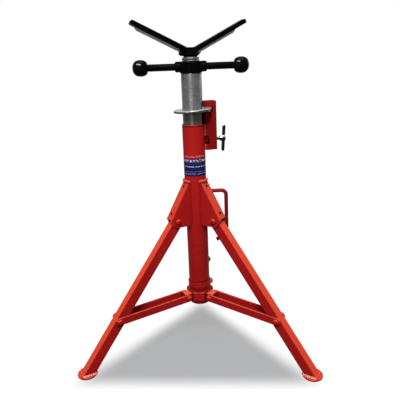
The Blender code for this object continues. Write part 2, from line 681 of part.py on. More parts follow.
def spring_points():
    """The middle of the spring's wire, as one helix between its seat and the ring."""
    bottom = COLUMN_TOP_Z + GAP + SPRING_WIRE / 2
    ring_under = RING_Z + SPRING_REACH * tan(RING_TILT) - RING_THICKNESS / 2 / cos(RING_TILT)
    # The ring hangs lower on the side of the spring that faces the tube.
    top = ring_under - SPRING_RADIUS * tan(RING_TILT) - GAP - SPRING_WIRE / 2
    count = SPRING_TURNS * SPRING_POINTS_A_TURN
    return [Vector((SPRING_REACH + SPRING_RADIUS * cos(2 * pi * step / SPRING_POINTS_A_TURN),
                    SPRING_RADIUS * sin(2 * pi * step / SPRING_POINTS_A_TURN),
                    bottom + (top - bottom) * step / count)) for step in range(count + 1)]


def print_spring_gap(points):
    """The least gap between neighbouring turns of the spring, measured on its points."""
    apart = min((points[index] - points[index + SPRING_POINTS_A_TURN]).length
                for index in range(len(points) - SPRING_POINTS_A_TURN))
    print("ring spring: least gap between turns %.2f mm" % ((apart - SPRING_WIRE) * 1000))


def ring_spring_mesh():
    points = spring_points()
    print_spring_gap(points)
    curve = bpy.data.curves.new("coil", "CURVE")
    curve.dimensions = "3D"
    curve.bevel_depth = SPRING_WIRE / 2
    curve.bevel_resolution = 1
    curve.use_fill_caps = True
    spline = curve.splines.new("POLY")
    spline.points.add(len(points) - 1)
    for point, place in zip(spline.points, points):
        point.co = (*place, 1)
    shape = link_shape("coil", curve, cutters)
    mesh = mesh_of(shape)
    bpy.data.objects.remove(shape)
    solid = bmesh.new()
    solid.from_mesh(mesh)
    bmesh.ops.remove_doubles(solid, verts=solid.verts, dist=0.000001)
    return written(solid)


def wing_nut_mesh():
    """Nut behind the bracket's notch, along X, flat against the column."""
    mesh = hex_mesh(WING_NUT_FLATS, WING_NUT_THICKNESS, WING_STUD_DIAMETER / 2 + RUNNING_GAP,
                    RING_EDGE)
    mesh.transform(Matrix.Rotation(-pi / 2, 4, "Z"))
    return mesh


def wing_stud_mesh():
    tip = INNER_TUBE_RADIUS + GAP
    edge = TUBE_EDGE
    radius = WING_STUD_DIAMETER / 2
    length = WING_STUD_END_REACH - tip
    mesh = turned_mesh([(0, length), (radius - edge, length), (radius, length - edge),
                        (radius, edge), (radius - edge, 0), (0, 0)], SMALL_FACETS, closed=False)
    mesh.transform(Matrix.Rotation(pi / 2, 4, "Y"))
    return mesh


def wing_handle_mesh():
    """Cast wings about the screw's axis along X: a cone that grows into a swept flat blade."""
    length = WING_HUB_LENGTH
    cone = turned_mesh([(0, length), (WING_HUB_END_RADIUS - TUBE_EDGE, length),
                        (WING_HUB_END_RADIUS, length - TUBE_EDGE),
                        (WING_HUB_END_RADIUS, length / 2),
                        (WING_HUB_RADIUS, 0), (0, 0)], HOLE_FACETS, closed=False)
    cone.transform(Matrix.Rotation(pi / 2, 4, "Y"))
    half_blade = WING_BLADE / 2
    reach = WING_SPAN / 2 - half_blade
    middle = length - half_blade
    upper = arc((middle + WING_SWEEP, reach), half_blade, pi, 0, 6)
    lower = arc((middle - WING_SWEEP, -reach), half_blade, 0, -pi, 6)
    blade = plate_mesh([*upper, (middle + half_blade, 0), *lower, (middle - half_blade, 0)],
                       WING_THICKNESS)
    socket = rod_mesh(WING_STUD_DIAMETER / 2 + RUNNING_GAP,
                      WING_STUD_END_REACH - WING_HUB_REACH + GAP + OVERRUN, HOLE_FACETS, "x",
                      (-OVERRUN, 0, 0))
    return combined(cone, cuts=[tool(socket)], joins=[tool(blade)])


# Jack screw, handle and head, about the stand's axis

def inner_tube_mesh():
    return turned_mesh(tube_profile(INNER_TUBE_RADIUS, INNER_TUBE_RADIUS - INNER_TUBE_WALL,
                                    INNER_TUBE_TOP_Z - INNER_TUBE_LENGTH, INNER_TUBE_TOP_Z,
                                    TUBE_EDGE), TUBE_FACETS)


def jack_screw_mesh():
    radius = SCREW_DIAMETER / 2
    return turned_mesh(tube_profile(radius, SCREW_BORE / 2, SCREW_TOP_Z - SCREW_LENGTH,
                                    SCREW_TOP_Z, NUT_EDGE / 2), TUBE_FACETS)


def handle_nut_mesh():
    barrel = rod_mesh(NUT_RADIUS, NUT_TOP_Z - NUT_BOTTOM_Z, TUBE_FACETS, "z",
                      (0, 0, NUT_BOTTOM_Z), NUT_EDGE)
    boss = rod_mesh(NUT_BOSS_RADIUS, 2 * NUT_BOSS_REACH, BOSS_FACETS, "x",
                    (-NUT_BOSS_REACH, 0, 0), NUT_EDGE)
    screw_hole = rod_mesh(SCREW_DIAMETER / 2 + RUNNING_GAP, NUT_TOP_Z, TUBE_FACETS, "z",
                          (0, 0, NUT_TOP_Z / 2))
    cuts = [tool(screw_hole)]
    for side in (-1, 1):
        start = side * (HANDLE_BAR_START - GAP)
        depth = NUT_BOSS_REACH + OVERRUN - HANDLE_BAR_START
        socket = rod_mesh(HANDLE_BAR_DIAMETER / 2 + GAP, depth, HOLE_FACETS, "x",
                          (start if side > 0 else start - depth, 0, HANDLE_Z))
        cuts.append(tool(socket))
    return combined(barrel, cuts=cuts, joins=[tool(boss, (0, 0, HANDLE_Z))])


def handle_bar_mesh():
    """Bar along X from its socket to a neck inside the knob."""
    radius = HANDLE_BAR_DIAMETER / 2
    neck = HANDLE_NECK_DIAMETER / 2
    shoulder = KNOB_REACH - KNOB_FLAT - GAP
    neck_end = KNOB_REACH - KNOB_FLAT + KNOB_BORE_DEPTH - GAP
    profile = [(0, neck_end), (neck, neck_end), (neck, shoulder), (radius - TUBE_EDGE, shoulder),
               (radius, shoulder - TUBE_EDGE), (radius, HANDLE_BAR_START), (0, HANDLE_BAR_START)]
    mesh = turned_mesh(profile, HOLE_FACETS, closed=False)
    mesh.transform(Matrix.Rotation(pi / 2, 4, "Y"))
    return mesh


def ball_knob_mesh():
    """Full round knob about its own middle, with its flat and bore towards -X."""
    power = 2 / KNOB_FULLNESS
    flat_angle = asin((KNOB_FLAT / KNOB_RADIUS) ** (1 / power))
    bore = HANDLE_NECK_DIAMETER / 2 + GAP
    ball = [(KNOB_RADIUS * across ** power, copysign(KNOB_RADIUS * abs(up) ** power, up))
            for across, up in arc((0, 0), 1, pi / 2, -flat_angle, 14)[1:]]
    ball.insert(0, (0, KNOB_RADIUS))
    inner_end = KNOB_BORE_DEPTH - KNOB_FLAT
    profile = [*ball, (bore, -KNOB_FLAT), (bore, inner_end), (0, inner_end)]
    mesh = turned_mesh(profile, TUBE_FACETS * 3 // 5, closed=False)
    mesh.transform(Matrix.Rotation(pi / 2, 4, "Y"))
    return mesh


def arm_underside(reach):
    """Height of the arms' lower face at a distance from the axis."""
    tip_reach = HEAD_ARM_LENGTH * cos(HEAD_RISE) + HEAD_ARM_THICKNESS * sin(HEAD_RISE)
    tip_z = (HEAD_VALLEY_Z + (HEAD_ARM_LENGTH * sin(HEAD_RISE))
             - HEAD_ARM_THICKNESS * cos(HEAD_RISE))
    return tip_z - (HEAD_VALLEY_HALF + tip_reach - reach) * tan(HEAD_RISE)


def v_head_mesh():
    """Both arms, the hub and the stem that drops into the screw."""
    along = Vector((cos(HEAD_RISE), sin(HEAD_RISE)))
    down = Vector((sin(HEAD_RISE), -cos(HEAD_RISE)))
    valley = Vector((HEAD_VALLEY_HALF, HEAD_VALLEY_Z))
    tip = valley + HEAD_ARM_LENGTH * along
    under_tip = tip + HEAD_ARM_THICKNESS * down
    floor_z = arm_underside(HEAD_VALLEY_HALF)
    upper = tip + HEAD_TIP_RADIUS * (down - along)
    lower = under_tip - HEAD_TIP_RADIUS * (down + along)
    right = [tuple(valley),
             *arc(upper, HEAD_TIP_RADIUS, HEAD_RISE + pi / 2, HEAD_RISE, 4),
             *arc(lower, HEAD_TIP_RADIUS, HEAD_RISE, HEAD_RISE - pi / 2, 4),
             (HEAD_VALLEY_HALF, floor_z)]
    outline = right + [(-reach, height) for reach, height in reversed(right)]
    arms = plate_mesh(outline, HEAD_ARM_DEPTH)
    hub_bottom = SCREW_TOP_Z + GAP
    stem_radius = SCREW_BORE / 2 - RUNNING_GAP
    hub_top = (HEAD_VALLEY_Z + floor_z) / 2
    hub = turned_mesh([(0, hub_top), (HEAD_HUB_RADIUS, hub_top),
                       (HEAD_HUB_RADIUS, hub_bottom + HEAD_HUB_CHAMFER),
                       (HEAD_HUB_RADIUS - HEAD_HUB_CHAMFER, hub_bottom),
                       (stem_radius, hub_bottom), (stem_radius, hub_bottom - HEAD_STEM_LENGTH),
                       (0, hub_bottom - HEAD_STEM_LENGTH)], TUBE_FACETS, closed=False)
    return combined(arms, joins=[tool(hub)])


def arm_rib_mesh(share):
    """Flat rib under an arm, towards +X, that runs down the hub's side."""
    start = HEAD_HUB_RADIUS + GAP
    end = share * HEAD_ARM_LENGTH * cos(HEAD_RISE) + HEAD_VALLEY_HALF
    drop = GAP / cos(HEAD_RISE)
    deep = (RIB_HEIGHT + GAP) / cos(HEAD_RISE)
    foot_z = SCREW_TOP_Z + GAP + HEAD_HUB_CHAMFER
    outline = [(start, arm_underside(start) - drop), (end, arm_underside(end) - drop),
               (end - RIB_HEIGHT, arm_underside(end - RIB_HEIGHT) - deep),
               (start + RIB_HEIGHT, arm_underside(start + RIB_HEIGHT) - deep),
               (start + RIB_HEIGHT - NUT_EDGE, foot_z + NUT_EDGE), (start, foot_z)]
    return plate_mesh(outline, RIB_THICKNESS)


# Assembly

def build_column(stand):
    piece("outer_column", outer_column_mesh(), RED, stand)
    piece("ring_bracket", ring_bracket_mesh(), RED, stand, turn=(0, 0, ANCHOR_AZIMUTH))
    piece("wing_screw_nut", wing_nut_mesh(), RED, stand,
          anchor_direction(COLUMN_RADIUS + GAP, WING_Z), (0, 0, ANCHOR_AZIMUTH))
    side = (-CARRY_SIDE_OFFSET * sin(CARRY_AZIMUTH), CARRY_SIDE_OFFSET * cos(CARRY_AZIMUTH), 0)
    piece("carry_handle", carry_handle_mesh(), RED, stand, side, (0, 0, CARRY_AZIMUTH))


def build_legs(stand):
    """Bracket, leg, pad and pivot bolt for each leg, which share their meshes."""
    bracket = leg_bracket_mesh()
    leg = leg_mesh()
    pad = foot_pad_mesh()
    pivot_sleeve = sleeve_mesh(PIVOT_SLEEVE_DIAMETER, PIVOT_BOLT_DIAMETER)
    brace_sleeve = sleeve_mesh(BRACE_SLEEVE_DIAMETER, BRACE_BOLT_DIAMETER)
    seat = BRACKET_HALF_OUTSIDE + GAP
    bolt = dome_bolt_mesh(PIVOT_HEAD_RADIUS, PIVOT_HEAD_HEIGHT, PIVOT_BOLT_DIAMETER / 2,
                          2 * seat + PIVOT_NUT_HEIGHT + PIVOT_BOLT_END)
    nut = hex_mesh(PIVOT_NUT_FLATS, PIVOT_NUT_HEIGHT, PIVOT_HOLE_RADIUS, PIVOT_BOLT_END / 2)
    for side, azimuth in LEG_AZIMUTHS.items():
        plane = empty("leg_plane_" + side, stand, turn=(0, 0, azimuth))
        pivot = empty("leg_pivot_" + side, plane, LEG_PIVOT)
        flip = 0 if BOLT_HEAD_SIDES[side] > 0 else pi
        piece("leg_bracket_" + side, bracket, RED, plane)
        piece("leg_bolt_" + side, bolt, RED, pivot,
              (0, BOLT_HEAD_SIDES[side] * seat, 0), (flip, 0, 0))
        piece("leg_nut_" + side, nut, STEEL, pivot,
              (0, -BOLT_HEAD_SIDES[side] * seat, 0), (flip + pi, 0, 0))
        piece("leg_" + side, leg, RED, pivot, turn=(0, -LEG_LEAN, 0))
        piece("pivot_sleeve_" + side, pivot_sleeve, STEEL, pivot)
        piece("foot_pad_" + side, pad, RED, pivot,
              (PAD_REACH - LEG_PIVOT_REACH, 0, -LEG_PIVOT_Z))
        piece("brace_sleeve_" + side, brace_sleeve, STEEL, pivot, BRACE_ON_LEG * LEG_DOWN)


def build_collar(stand):
    piece("sliding_collar", collar_mesh(), RED, stand)
    lock_azimuth = LEG_AZIMUTHS["right"] + pi
    piece("collar_lock_bolt", lock_bolt_mesh(), STEEL, stand, (0, 0, LOCK_BOLT_Z),
          (0, 0, lock_azimuth))


def build_braces(stand):
    """A pair of bars for each leg, with the bolts at both their ends."""
    bar = brace_bar_mesh()
    seat = BRACE_OUTER_SIDE + GAP
    long_bolt = dome_bolt_mesh(BRACE_HEAD_RADIUS, BRACE_HEAD_HEIGHT, BRACE_BOLT_DIAMETER / 2,
                               2 * seat + BRACE_NUT_HEIGHT + BRACE_BOLT_END)
    short_bolt = dome_bolt_mesh(BRACE_HEAD_RADIUS, BRACE_HEAD_HEIGHT, BRACE_BOLT_DIAMETER / 2,
                                seat - BRACE_INNER_SIDE)
    nut = hex_mesh(BRACE_NUT_FLATS, BRACE_NUT_HEIGHT, BRACE_HOLE_RADIUS, BRACE_BOLT_END / 2)
    end_mesh = brace_end_mesh()
    for side, azimuth in LEG_AZIMUTHS.items():
        plane = bpy.data.objects["leg_plane_" + side]
        pivot = empty("brace_pivot_" + side, plane, BRACE_PIVOT)
        bar_turn = empty("brace_turn_" + side, pivot, turn=(0, BRACE_DIP, 0))
        head = BOLT_HEAD_SIDES[side]
        flip = 0 if head > 0 else pi
        middle = (BRACE_INNER_SIDE + BRACE_OUTER_SIDE) / 2
        piece("brace_front_" + side, bar, RED, bar_turn, (0, head * middle, 0))
        piece("brace_back_" + side, bar, RED, bar_turn, (0, -head * middle, 0))
        piece("collar_bolt_" + side, long_bolt, RED, pivot, (0, head * seat, 0), (flip, 0, 0))
        piece("collar_nut_" + side, nut, STEEL, pivot, (0, -head * seat, 0), (flip + pi, 0, 0))
        piece("brace_bolt_" + side, short_bolt, RED, bar_turn,
              (BRACE_LENGTH, head * seat, 0), (flip, 0, 0))
        piece("brace_nut_" + side, end_mesh, STEEL, bar_turn,
              (BRACE_LENGTH, -head * seat, 0), (flip + pi, 0, 0))


def brace_end_mesh():
    """The brace bolt's threaded end with its nut, through the far bar and outwards along Y."""
    inside = BRACE_OUTER_SIDE - BRACE_INNER_SIDE + GAP
    nut = hex_mesh(BRACE_NUT_FLATS, BRACE_NUT_HEIGHT, 0, BRACE_BOLT_END / 2)
    shank = rod_mesh(BRACE_BOLT_DIAMETER / 2, inside + BRACE_NUT_HEIGHT + BRACE_BOLT_END,
                     SMALL_FACETS, "y", (0, -inside, 0))
    return combined(nut, joins=[tool(shank)])


def build_ring(stand):
    pivot = empty("ring_pivot", stand, (0, 0, RING_Z), (0, 0, ANCHOR_AZIMUTH))
    piece("friction_ring", friction_ring_mesh(), ZINC, pivot, turn=(0, -RING_TILT, 0))
    piece("ring_spring", ring_spring_mesh(), STEEL, stand, turn=(0, 0, ANCHOR_AZIMUTH))


def build_wing_screw(stand):
    axis = empty("wing_screw_axis", stand, (0, 0, WING_Z), (0, 0, ANCHOR_AZIMUTH))
    piece("wing_screw_stud", wing_stud_mesh(), ZINC, axis, (INNER_TUBE_RADIUS + GAP, 0, 0))
    piece("wing_screw_handle", wing_handle_mesh(), ZINC, axis, (WING_HUB_REACH, 0, 0))


def build_jack(stand):
    piece("inner_tube", inner_tube_mesh(), ZINC, stand)
    piece("jack_screw", jack_screw_mesh(), ZINC, stand)
    handle = empty("handle_turn", stand, turn=(0, 0, HANDLE_AZIMUTH))
    piece("handle_nut", handle_nut_mesh(), BLACK, handle)
    bar = handle_bar_mesh()
    knob = ball_knob_mesh()
    for side, sign, turn in (("right", 1, 0), ("left", -1, pi)):
        piece("handle_bar_" + side, bar, BLACK, handle, (0, 0, HANDLE_Z), (0, 0, turn))
        piece("ball_knob_" + side, knob, KNOB, handle,
              (sign * KNOB_REACH, 0, HANDLE_Z), (0, 0, turn))


def build_head(stand):
    head = empty("head_turn", stand, turn=(0, 0, HEAD_AZIMUTH))
    piece("v_head", v_head_mesh(), BLACK, head)
    piece("arm_rib_right", arm_rib_mesh(RIB_RIGHT_SHARE), STEEL, head)
    piece("arm_rib_left", arm_rib_mesh(RIB_LEFT_SHARE), STEEL, head, turn=(0, 0, pi))


stand_axis = empty("stand_axis", None, (0, STAND_AXIS_Y, 0))
build_column(stand_axis)
build_legs(stand_axis)
build_collar(stand_axis)
build_braces(stand_axis)
build_ring(stand_axis)
build_wing_screw(stand_axis)
build_jack(stand_axis)
build_head(stand_axis)
bpy.context.view_layer.update()
print("pipe jack stand:", sum(1 for shape in parts.objects if shape.type == "MESH"), "solids")
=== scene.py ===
# Looks for the folding pipe jack stand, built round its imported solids.
import json
from math import asin, copysign, cos, pi, radians, sin, sqrt, tan

import bmesh
import bpy
from mathutils import Matrix, Vector


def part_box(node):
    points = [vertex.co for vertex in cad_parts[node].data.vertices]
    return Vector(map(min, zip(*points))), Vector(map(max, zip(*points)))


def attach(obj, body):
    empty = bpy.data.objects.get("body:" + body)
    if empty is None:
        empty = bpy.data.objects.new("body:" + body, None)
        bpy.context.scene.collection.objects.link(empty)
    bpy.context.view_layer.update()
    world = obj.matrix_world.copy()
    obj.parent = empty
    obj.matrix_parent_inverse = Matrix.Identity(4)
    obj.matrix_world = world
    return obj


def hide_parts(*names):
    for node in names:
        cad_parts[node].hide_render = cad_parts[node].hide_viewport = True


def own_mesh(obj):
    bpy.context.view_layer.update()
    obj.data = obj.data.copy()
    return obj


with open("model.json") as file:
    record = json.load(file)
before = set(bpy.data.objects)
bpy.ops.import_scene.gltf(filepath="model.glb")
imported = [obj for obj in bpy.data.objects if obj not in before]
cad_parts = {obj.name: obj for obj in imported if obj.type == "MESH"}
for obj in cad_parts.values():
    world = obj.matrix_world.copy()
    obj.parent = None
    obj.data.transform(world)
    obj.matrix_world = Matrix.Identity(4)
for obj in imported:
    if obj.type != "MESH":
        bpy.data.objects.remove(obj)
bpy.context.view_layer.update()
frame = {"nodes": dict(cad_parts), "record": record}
nodes = frame["nodes"]
record = frame["record"]
nodeBody = {
    node: body for body, members in record["behaviour"]["bodies"].items() for node in members}
nodeSlot = {part["node"]: part["material_slot"] for part in record["subparts"]}
columnLow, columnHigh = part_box("outer_column")
standAxis = Vector(((columnLow[0] + columnHigh[0]) / 2, (columnLow[1] + columnHigh[1]) / 2, 0))
columnRadius = (columnHigh[0] - columnLow[0]) / 2
legAzimuths = {"left": radians(-150), "right": radians(-30), "rear": radians(90)}
boltSides = {"left": 1, "right": -1, "rear": -1}
# where the friction ring's bracket stands, with its wing screw and its spring
lockAzimuth = radians(19)
# points closer than this are one point, where a grid or a path closes
mergeDistance = 0.000002
print("frame loaded:", len(nodes), "nodes")


# Node helpers

def newMaterial(name, viewColour):
    material = bpy.data.materials.new(name)
    material.use_nodes = True
    material.diffuse_color = (*viewColour, 1)
    return material, material.node_tree, material.node_tree.nodes["Principled BSDF"]


def feed(tree, node, values):
    # each input takes its value, or a link where the value is another node's socket
    for name, value in values.items():
        socket = node.inputs[name]
        if isinstance(value, bpy.types.NodeSocket):
            tree.links.new(value, socket)
        elif socket.type == "RGBA":
            socket.default_value = (*value[:3], 1)
        else:
            socket.default_value = value
    return node


def addNode(tree, kind, inputs=None, **settings):
    node = tree.nodes.new(kind)
    for name, value in settings.items():
        setattr(node, name, value)
    return feed(tree, node, inputs or {})


def calc(tree, operation, *terms):
    inputs = dict(enumerate(terms))
    return addNode(tree, "ShaderNodeMath", inputs, operation=operation).outputs[0]


def vectorCalc(tree, operation, *terms):
    inputs = dict(enumerate(terms))
    return addNode(tree, "ShaderNodeVectorMath", inputs, operation=operation).outputs


def fade(tree, value, fromMin, fromMax, toMin=0, toMax=1, curve="LINEAR"):
    inputs = {
        "Value": value, "From Min": fromMin, "From Max": fromMax, "To Min": toMin, "To Max": toMax}
    node = addNode(tree, "ShaderNodeMapRange", inputs, interpolation_type=curve)
    return node.outputs["Result"]


def mixed(tree, share, first, second, blend="MIX"):
    inputs = {"Factor": share, 6: first, 7: second}
    node = addNode(tree, "ShaderNodeMix", inputs, data_type="RGBA", blend_type=blend)
    return node.outputs[2]


def placeOf(tree):
    return addNode(tree, "ShaderNodeTexCoord").outputs["Object"]


def axesOf(tree, vector):
    return addNode(tree, "ShaderNodeSeparateXYZ", {0: vector}).outputs


def noiseOf(tree, scale, detail, roughness=0.5, vector=None):
    inputs = {"Vector": vector or placeOf(tree), "Scale": scale, "Detail": detail,
              "Roughness": roughness}
    return addNode(tree, "ShaderNodeTexNoise", inputs).outputs["Fac"]


inputKinds = {1: "NodeSocketFloat", 3: "NodeSocketVector", 4: "NodeSocketColor"}
outputKinds = {"Mask": "NodeSocketFloat", "Normal": "NodeSocketVector", "Color": "NodeSocketColor"}


def newGroup(name, build, inputs, outputs=("Mask",)):
    # inputs has each one's default, and its length tells the kind; build gives the outputs
    group = bpy.data.node_groups.new(name, "ShaderNodeTree")
    for label, value in inputs.items():
        kind = inputKinds[len(value) if isinstance(value, tuple) else 1]
        group.interface.new_socket(label, in_out="INPUT", socket_type=kind).default_value = value
    for label in outputs:
        group.interface.new_socket(label, in_out="OUTPUT", socket_type=outputKinds[label])
    given = group.nodes.new("NodeGroupInput").outputs
    feed(group, group.nodes.new("NodeGroupOutput"), build(group, given))
    return group


def placeGroup(tree, group, values=None):
    return addNode(tree, "ShaderNodeGroup", values, node_tree=group).outputs


# Shared effects

def mottleColour(group, given):
    # two colours mixed by a soft cloud, with a finer speckle over it
    cloud = noiseOf(group, given["Cloud Scale"], 3, 0.55)
    grain = noiseOf(group, given["Speckle Scale"], 2, 0.6)
    both = addNode(group, "ShaderNodeMix", {"Factor": given["Speckle"], 2: cloud, 3: grain},
                   data_type="FLOAT")
    spread = fade(group, both.outputs[0], 0.36, 0.64)
    share = calc(group, "MULTIPLY", spread, given["Amount"])
    return {"Color": mixed(group, share, given["Base"], given["Patch"]), "Mask": spread}


def wornAndLitEdgesMask(group, given):
    # outer edges, broken up by a noise: worn paint, and painted highlight along the edges
    rounded = addNode(group, "ShaderNodeBevel", {"Radius": given["Radius"]}, samples=4)
    flat = addNode(group, "ShaderNodeNewGeometry").outputs["True Normal"]
    dot = vectorCalc(group, "DOT_PRODUCT", rounded.outputs["Normal"], flat)["Value"]
    noise = noiseOf(group, given["Break Scale"], 4, 0.7)
    chips = calc(group, "MULTIPLY", fade(group, dot, 0.995, 0.9), fade(group, noise, 0.45, 0.62))
    return {"Mask": calc(group, "MULTIPLY", chips, given["Amount"])}


def grainNormal(group, given):
    # a fine uneven surface
    stretched = vectorCalc(group, "MULTIPLY", placeOf(group), given["Stretch"])["Vector"]
    noise = noiseOf(group, given["Scale"], 3, vector=stretched)
    bump = addNode(group, "ShaderNodeBump", {
        "Strength": 1, "Height": noise, "Distance": given["Height"]})
    return {"Normal": bump.outputs["Normal"]}


def skywardMask(group, given):
    # the sides that look up, with a slightly uneven limit
    normal = addNode(group, "ShaderNodeTexCoord").outputs["Normal"]
    noise = noiseOf(group, given["Noise Scale"], 3)
    uneven = calc(group, "MULTIPLY_ADD", calc(group, "SUBTRACT", noise, 0.5), given["Uneven"],
                  axesOf(group, normal)["Z"])
    return {"Mask": fade(group, uneven, given["Low"], given["High"], curve="SMOOTHSTEP")}


def levelBandMask(group, given):
    # one level band, between two heights
    height = axesOf(group, placeOf(group))["Z"]
    depth = calc(group, "MINIMUM", calc(group, "SUBTRACT", height, given["Low"]),
                 calc(group, "SUBTRACT", given["High"], height))
    inside = calc(group, "DIVIDE", depth, given["Soft"])
    return {"Mask": fade(group, inside, -1, 1, curve="SMOOTHSTEP")}


def opennessMask(group, given):
    # open surface; the finishes darken what is not open, as painted shade in corners and narrow
    # gaps
    around = addNode(group, "ShaderNodeAmbientOcclusion", {"Distance": given["Distance"]},
                     samples=6)
    return {"Mask": fade(group, around.outputs["AO"], given["Low"], given["High"])}


def brokenLineMask(group, given):
    # the dashes of one level line round the stand's axis
    axes = axesOf(group, placeOf(group))
    scale = given["Dash Scale"]
    angle = calc(group, "ARCTAN2", calc(group, "SUBTRACT", axes["X"], standAxis.x),
                 calc(group, "SUBTRACT", axes["Y"], standAxis.y))
    away = calc(group, "ABSOLUTE", calc(group, "SUBTRACT", axes["Z"], given["Height"]))
    band = fade(group, away, calc(group, "MULTIPLY", given["Half"], 0.7),
                calc(group, "MULTIPLY", given["Half"], 1.2), 1, 0, "SMOOTHSTEP")
    spot = addNode(group, "ShaderNodeCombineXYZ", {
        "X": calc(group, "MULTIPLY", angle, scale),
        "Y": calc(group, "MULTIPLY", axes["Z"], calc(group, "MULTIPLY", scale, 28))})
    dash = noiseOf(group, 1, 1, vector=spot.outputs[0])
    limit = calc(group, "SUBTRACT", 0.75, calc(group, "MULTIPLY", given["Share"], 0.5))
    printed = fade(group, dash, calc(group, "SUBTRACT", limit, 0.03),
                   calc(group, "ADD", limit, 0.03))
    return {"Mask": calc(group, "MULTIPLY", band, printed)}


mottle = newGroup("mottle", mottleColour, {
    "Base": (0.5, 0.5, 0.5, 1), "Patch": (0.3, 0.3, 0.3, 1), "Cloud Scale": 20,
    "Speckle Scale": 300, "Amount": 0.5, "Speckle": 0.5}, ("Color", "Mask"))
edgeWear = newGroup("edgeWear", wornAndLitEdgesMask, {"Radius": 0.001, "Break Scale": 120, "Amount": 1})
surfaceGrain = newGroup("surfaceGrain", grainNormal, {
    "Scale": 400, "Height": 0.0001, "Stretch": (1, 1, 1)}, ("Normal",))
skyward = newGroup("skyward", skywardMask, {
    "Low": 0.2, "High": 0.6, "Uneven": 0.2, "Noise Scale": 40})
levelBand = newGroup("levelBand", levelBandMask, {"Low": 0, "High": 1, "Soft": 0.002})
openness = newGroup("openness", opennessMask, {"Distance": 0.012, "Low": 0.35, "High": 0.85})
brokenLine = newGroup("brokenLine", brokenLineMask, {
    "Height": 0.5, "Half": 0.001, "Dash Scale": 10, "Share": 0.5})


def addLines(tree, colour, lines):
    # height, half height, dash scale, share of the line that is drawn, strength, colour
    for height, half, scale, share, strength, tint in lines:
        line = placeGroup(tree, brokenLine, {
            "Height": height, "Half": half, "Dash Scale": scale, "Share": share})
        colour = mixed(tree, calc(tree, "MULTIPLY", line["Mask"], strength), colour, tint)
    return colour


# What a finish has where it doesn't say otherwise. "bands" are low, high, softness and colour,
# "lines" are as addLines has them, and painted top light, its heights and painted corner shade can
# be left out.
plainLook = {
    "cloudScale": 20, "speckleScale": 300, "amount": 0.5, "speckle": 0.5, "edgeLightAndWear": 0,
    "edgeLightAndWearRadius": 0.001, "bands": (), "lines": (), "grainScale": 400, "grainHeight": 0.0001,
    "grainStretch": (1, 1, 1), "metallic": 0, "specular": 0.5, "coat": 0, "coatRoughness": 0.1}


def layeredMaterial(name, look):
    values = {**plainLook, **look}
    material, tree, shader = newMaterial(name, values["base"])
    body = placeGroup(tree, mottle, {
        "Base": values["base"], "Patch": values["patch"], "Cloud Scale": values["cloudScale"],
        "Speckle Scale": values["speckleScale"], "Amount": values["amount"],
        "Speckle": values["speckle"]})
    colour = body["Color"]
    # painted top light: the sides that look up take a lighter colour, between two heights where
    # given
    if "paintedTopLight" in values:
        mask = placeGroup(tree, skyward)["Mask"]
        if "paintedTopLightIn" in values:
            low, high = values["paintedTopLightIn"]
            reach = placeGroup(tree, levelBand, {"Low": low, "High": high, "Soft": 0.001})
            mask = calc(tree, "MULTIPLY", mask, reach["Mask"])
        colour = mixed(tree, mask, colour, values["paintedTopLight"])
    # lighter edges: partly worn paint, partly painted highlight
    if values["edgeLightAndWear"]:
        wornAndLit = placeGroup(tree, edgeWear, {
            "Radius": values["edgeLightAndWearRadius"], "Break Scale": values["edgeLightAndWearScale"],
            "Amount": values["edgeLightAndWear"]})
        colour = mixed(tree, wornAndLit["Mask"], colour, values["edgeLightAndWearColour"])
    # painted shade: darker in corners and narrow gaps
    if "cornerShade" in values:
        closed = calc(tree, "SUBTRACT", 1, placeGroup(tree, openness)["Mask"])
        colour = mixed(tree, closed, colour, values["cornerShade"], "MULTIPLY")
    # each band darkens or lightens between two heights; several are painted shade, shadow or
    # highlight
    for low, high, soft, tint in values["bands"]:
        band = placeGroup(tree, levelBand, {"Low": low, "High": high, "Soft": soft})
        colour = mixed(tree, band["Mask"], colour, tint, "MULTIPLY")
    grain = placeGroup(tree, surfaceGrain, {
        "Scale": values["grainScale"], "Height": values["grainHeight"],
        "Stretch": values["grainStretch"]})
    feed(tree, shader, {
        "Base Color": addLines(tree, colour, values["lines"]),
        "Roughness": fade(tree, body["Mask"], 0, 1, *values["roughness"]),
        "Normal": grain["Normal"], "Metallic": values["metallic"],
        "Specular IOR Level": values["specular"], "Coat Weight": values["coat"],
        "Coat Roughness": values["coatRoughness"]})
    return material
